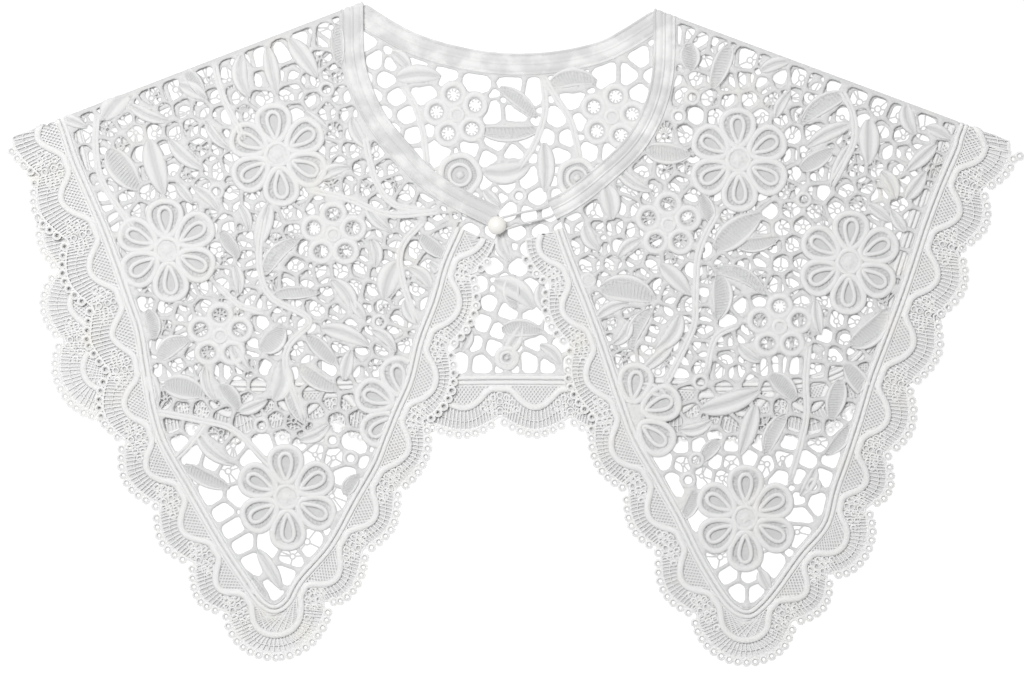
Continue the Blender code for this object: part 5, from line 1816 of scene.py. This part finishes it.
@dataclass
class Panel:
    """A panel of lace with the strips of edging round it."""

    name: str
    design: Design
    bed: Bed
    path: Array
    strips: tuple[tuple[float, float], ...]
    pitch: float
    seed: int
    bar: float  # width of the net's bars

    def edges(self, grown: float, past_fold: float) -> list[Array]:
        """The panel's edges, grown under the braid and the tape, and past the folds."""
        raise NotImplementedError

    def outline(self) -> Array:
        """The lace's edge as the solids have it."""
        return outline_of(self.edges(0.0, 0.0))

    def build(
        self, shift: Array, finish: Material, covered: tuple[Array, ...] = ()
    ) -> tuple[bpy.types.Object, bpy.types.Object]:
        """The panel's ground and its raised motifs as two pieces.

        Args:
            shift: from the collar's plane to the model's frame.
            finish: the lace's material.
            covered: outlines of the panels that lie over this one.
        Returns:
            The ground and the motifs.
        """
        outline = self.outline()
        past = self.bed.fold_run * FOLD_SHARE if self.bed.folds else 0.0
        edge = outline_of(self.edges(UNDERLAP, past))
        edge = resampled(np.vstack([edge, edge[:1]]), 3.0)[:-1]
        if area_of(edge) < 0:
            edge = edge[::-1]
        given = (self.design, self.pitch, self.seed, self.bed, self.bar)
        net = GroundNet(outline, edge, *given, covered=covered)
        ground = Work(self.bed, net.shapes())
        raised = Work(self.bed)
        Motifs(self.design, outline, raised, self.seed).build()
        works = {"ground": ground, "motifs": raised}
        made = tuple(work.made(f"{self.name}_{part}", shift, finish) for part, work in works.items())
        node = f"{self.name}_panel"
        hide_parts(node)
        for piece in made:
            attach(piece, "root")
        LOG.info("%s: %d and %d faces", self.name, *(len(piece.data.polygons) for piece in made))
        return made


@dataclass
class FrontPanel(Panel):
    """A front, which turns over at its shoulder and lies on the back panel."""

    tape: tuple[tuple[float, float], ...] = ()

    def edges(self, grown: float, past_fold: float) -> list[Array]:
        """The fold, the braid's side and the neck, in the order that they meet."""
        fold = self.bed.folds[0]
        left = fold.along[0] < 0
        rim = longer(panel_rim(self.path, self.strips, grown), 8)
        neck = smooth(at(self.tape), TAPE_STEP)
        neck = neck + (TAPE_WIDTH / 2 + SEAM - grown) * (1 if left else -1) * sideways(neck)
        neck = longer(neck, 14)
        if left:
            return [fold_path(fold, -past_fold), rim, neck[::-1]]
        return [fold_path(fold, -past_fold)[::-1], neck, rim]


@dataclass
class BackPanel(Panel):
    """The back, which lies on the surface under both fronts."""

    shoulders: tuple[Fold, ...] = ()

    def edges(self, grown: float, past_fold: float) -> list[Array]:
        """Both folds, the braid's side and the neck, in the order that they meet."""
        rim = longer(panel_rim(self.path, self.strips, grown), 8)
        neck = smooth(at(BACK_TAPE), TAPE_STEP)
        neck = longer(neck + (TAPE_WIDTH / 2 + SEAM - grown) * sideways(neck), 8)
        left, right = self.shoulders
        return [fold_path(left, SEAM), rim, fold_path(right, SEAM)[::-1], neck[::-1]]


@dataclass
class Studio:
    """The floor, the lights and the camera straight over the collar."""

    middle: Array  # under the photograph's middle, in metres
    focal: float = 85.0
    sensor: float = 36.0
    floor_glow: float = 0.85

    def floor(self) -> None:
        """Adds the plain pale floor."""
        half = 1.5
        mesh = bpy.data.meshes.new("floor")
        corners = [(-half, -half, -1e-4), (half, -half, -1e-4), (half, half, -1e-4), (-half, half, -1e-4)]
        mesh.from_pydata(corners, [], [(0, 1, 2, 3)])
        mesh.materials.append(FloorFinish("floor", self.floor_glow).material())
        made = bpy.data.objects.new("floor", mesh)
        bpy.context.collection.objects.link(made)

    def lamp(self, name: str, place: tuple[float, float, float], size: float, energy: float) -> None:
        """Adds a square soft light that faces the collar."""
        light = bpy.data.lights.new(name, "AREA")
        light.size, light.energy = size, energy
        made = bpy.data.objects.new(name, light)
        made.location = place
        aim = Vector((*self.middle, 0.0)) - made.location
        made.rotation_euler = aim.to_track_quat("-Z", "Y").to_euler()
        bpy.context.collection.objects.link(made)

    def camera(self) -> None:
        """Adds the camera, at the height from which the photograph's width fills its view."""
        camera = bpy.data.cameras.new("camera")
        camera.lens, camera.sensor_width = self.focal, self.sensor
        made = bpy.data.objects.new("camera", camera)
        height = PHOTO_SIZE[0] * PIXEL / METRE * self.focal / self.sensor
        made.location = (*self.middle, height)
        camera.clip_start, camera.clip_end = 0.05, 20.0
        bpy.context.collection.objects.link(made)
        bpy.context.scene.camera = made

    def build(self) -> None:
        """Sets up the whole studio."""
        scene = bpy.context.scene
        scene.view_settings.view_transform = "Standard"
        world = bpy.data.worlds.new("studio")
        world.use_nodes = True
        world.node_tree.nodes["Background"].inputs["Color"].default_value = (1.0, 1.0, 1.0, 1.0)
        world.node_tree.nodes["Background"].inputs["Strength"].default_value = 0.3
        scene.world = world
        self.floor()
        self.lamp("key", (self.middle[0] - 0.3, self.middle[1] + 0.35, 1.35), 0.6, 17.3)
        self.camera()


def dress_edging(strip: Edging, shift: Array, finish: Material) -> None:
    """Builds a strip of edging and puts it in place of its solid."""
    strip.build()
    made = strip.work.made(f"{strip.node}_cords", shift, finish)
    fine = strip.fine.made(f"{strip.node}_net", shift, finish)
    for piece in (made, fine):
        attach(piece, "root")
    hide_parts(strip.node)
    long, wide, area = (value / METRE for value in strip.cut())
    LOG.info("%s: %d faces", strip.node, len(made.data.polygons))


def edge_panel(
    names: Sequence[str],
    border: Border,
    stops: Sequence[float],
    bed: Bed,
    seed: int,
    trims: tuple[float, float],
    shift: Array,
    finish: Material,
) -> None:
    """Builds a panel's strips of edging, one between each two stops.

    Args:
        names: the strips' solids, in the order of the braid.
        border: the braid's line.
        stops: where the first strip starts, where each two meet and where the last ends.
        bed: what the strips lie on.
        seed: the first strip's seed, and one more for each of the others.
        trims: how much of the picots is left off at both ends.
        shift: from the collar's plane to the model's frame.
        finish: the edging's material.
    """
    last = len(names) - 1
    for k, name in enumerate(names):
        seams = (k > 0, k < last)
        run = (stops[k], stops[k + 1])
        strip = Edging(name, border, *run, Work(bed), Work(bed), seed + k, seams, picot_trims=trims)
        dress_edging(strip, shift, finish)


def strips_between(stops: Sequence[float]) -> tuple[tuple[float, float], ...]:
    """The strips between stops along a braid, with half a seam left out on both sides of an inner stop."""
    first, last = (np.array(part, float) for part in (stops[:-1], stops[1:]))
    first[1:] += SEAM / 2
    last[:-1] -= SEAM / 2
    return tuple(zip(first.tolist(), last.tolist()))


def dress_tapes(left: Fold, right: Fold, shift: Array, finish: Material) -> None:
    """Builds the three parts of the neck's binding and puts them in place of their solids."""
    tapes = (
        NeckTape("left_neck_tape", LEFT_TAPE, Bed(Layer.FRONT, (left,), TAPE_THICK), left, None),
        NeckTape("right_neck_tape", RIGHT_TAPE, Bed(Layer.FRONT, (right,), TAPE_THICK), right, None),
        NeckTape("back_neck_tape", BACK_TAPE, Bed(Layer.BACK, (), TAPE_THICK), left, right),
    )
    for tape in tapes:
        made = tape.build().made(tape.node.replace("neck_tape", "neck_binding"), shift, finish, 50)
        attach(made, "root")
        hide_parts(tape.node)
        LOG.info("%s: %d faces", tape.node, len(made.data.polygons))


def dress_closure(shift: Array, pearl: Material, thread: Material) -> None:
    """Builds the button and its loop and puts them in place of their solids."""
    for node, name, work, slot, finish in (
        ("button", "pearl_button", PearlButton().build(), "pearl", pearl),
        ("button_loop", "loop_cord", ButtonLoop().build(), "tape", thread),
    ):
        made = work.made(name, shift, finish, 40)
        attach(made, "root")
        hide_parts(node)


def dress_lace(left: Fold, right: Fold, shift: Array) -> None:
    """Builds the three panels and their edging and puts them in place of their solids."""
    # Lace and edging: white thread with painted shade, greyer in the low parts.
    lace = ThreadFinish("lace", (0.92, 0.92, 0.915), (0.74, 0.74, 0.745)).material()
    trim = ThreadFinish("edging", (0.97, 0.97, 0.965), (0.77, 0.77, 0.775), painted_shade_reach=(0.1, 0.6)).material()
    back_bed, left_bed, right_bed = Bed(Layer.BACK), Bed(Layer.FRONT, (left,)), Bed(Layer.FRONT, (right,))
    past, trims = left_bed.fold_run * FOLD_SHARE, (7.0, 7.0)

    path = braid_path(BACK_BRAID, left, right, SEAM)
    stops = (0.0, *(nearest_place(path, at(corner)) for corner in BACK_CORNERS), lengths(path)[-1])
    back = BackPanel(
        "back", BACK_DESIGN, back_bed, path, strips_between(stops), pitch=11.0, seed=5, bar=2.5,
        shoulders=(left, right),
    )
    border = Border(path, BACK_CRESTS, BACK_NARROWING)
    names = ("back_left_edging", "back_hem_edging", "back_right_edging")
    edge_panel(names, border, stops, back_bed, 0, (7.0, 18.0), shift, trim)

    path = braid_path(LEFT_BRAID, left, None)
    stops = (0.0, nearest_place(path, at(LEFT_TIP)), lengths(path)[-1] - EDGING_STOP)
    left_front = FrontPanel(
        "left_front", LEFT_DESIGN, left_bed, path, strips_between(stops), pitch=10.5, seed=3, bar=2.1,
        tape=LEFT_TAPE,
    )
    left_front.build(shift, lace)
    border = Border(path, LEFT_CRESTS, (1.0, NECK_NARROWING))
    names = ("left_outer_edging", "left_inner_edging")
    edge_panel(names, border, (-past, *stops[1:]), left_bed, 11, trims, shift, trim)

    path = braid_path(RIGHT_BRAID, None, right)
    stops = (EDGING_STOP, nearest_place(path, at(RIGHT_TIP)), lengths(path)[-1])
    right_front = FrontPanel(
        "right_front", RIGHT_DESIGN, right_bed, path, strips_between(stops), pitch=10.5, seed=3, bar=2.1,
        tape=RIGHT_TAPE,
    )
    right_front.build(shift, lace)
    back.build(shift, lace, (left_front.outline(), right_front.outline()))
    border = Border(path, RIGHT_CRESTS, (NECK_NARROWING, 1.0))
    names = ("right_inner_edging", "right_outer_edging")
    edge_panel(names, border, (*stops[:2], stops[2] + past), right_bed, 13, trims, shift, trim)


def main() -> None:
    """Builds the collar and its studio."""
    logging.basicConfig(level=logging.INFO, format="%(message)s")
    LOG.info("frame with %d nodes", len(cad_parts))
    low, high = (np.array(corner)[:2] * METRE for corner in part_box("button"))
    shift = (low + high) / 2 - at(BUTTON)
    left, right = fold_line(LEFT_SHOULDER), fold_line(RIGHT_SHOULDER)
    dress_lace(left, right, shift)
    binding = TapeFinish("tape", (0.82, 0.82, 0.815), (0.66, 0.66, 0.66)).material()
    pearl = PearlFinish("pearl", (0.95, 0.94, 0.91), (0.9, 0.88, 0.83)).material()
    dress_tapes(left, right, shift, binding)
    dress_closure(shift, pearl, binding)
    Studio(shift / METRE).build()


if __name__ == "__main__":
    main()
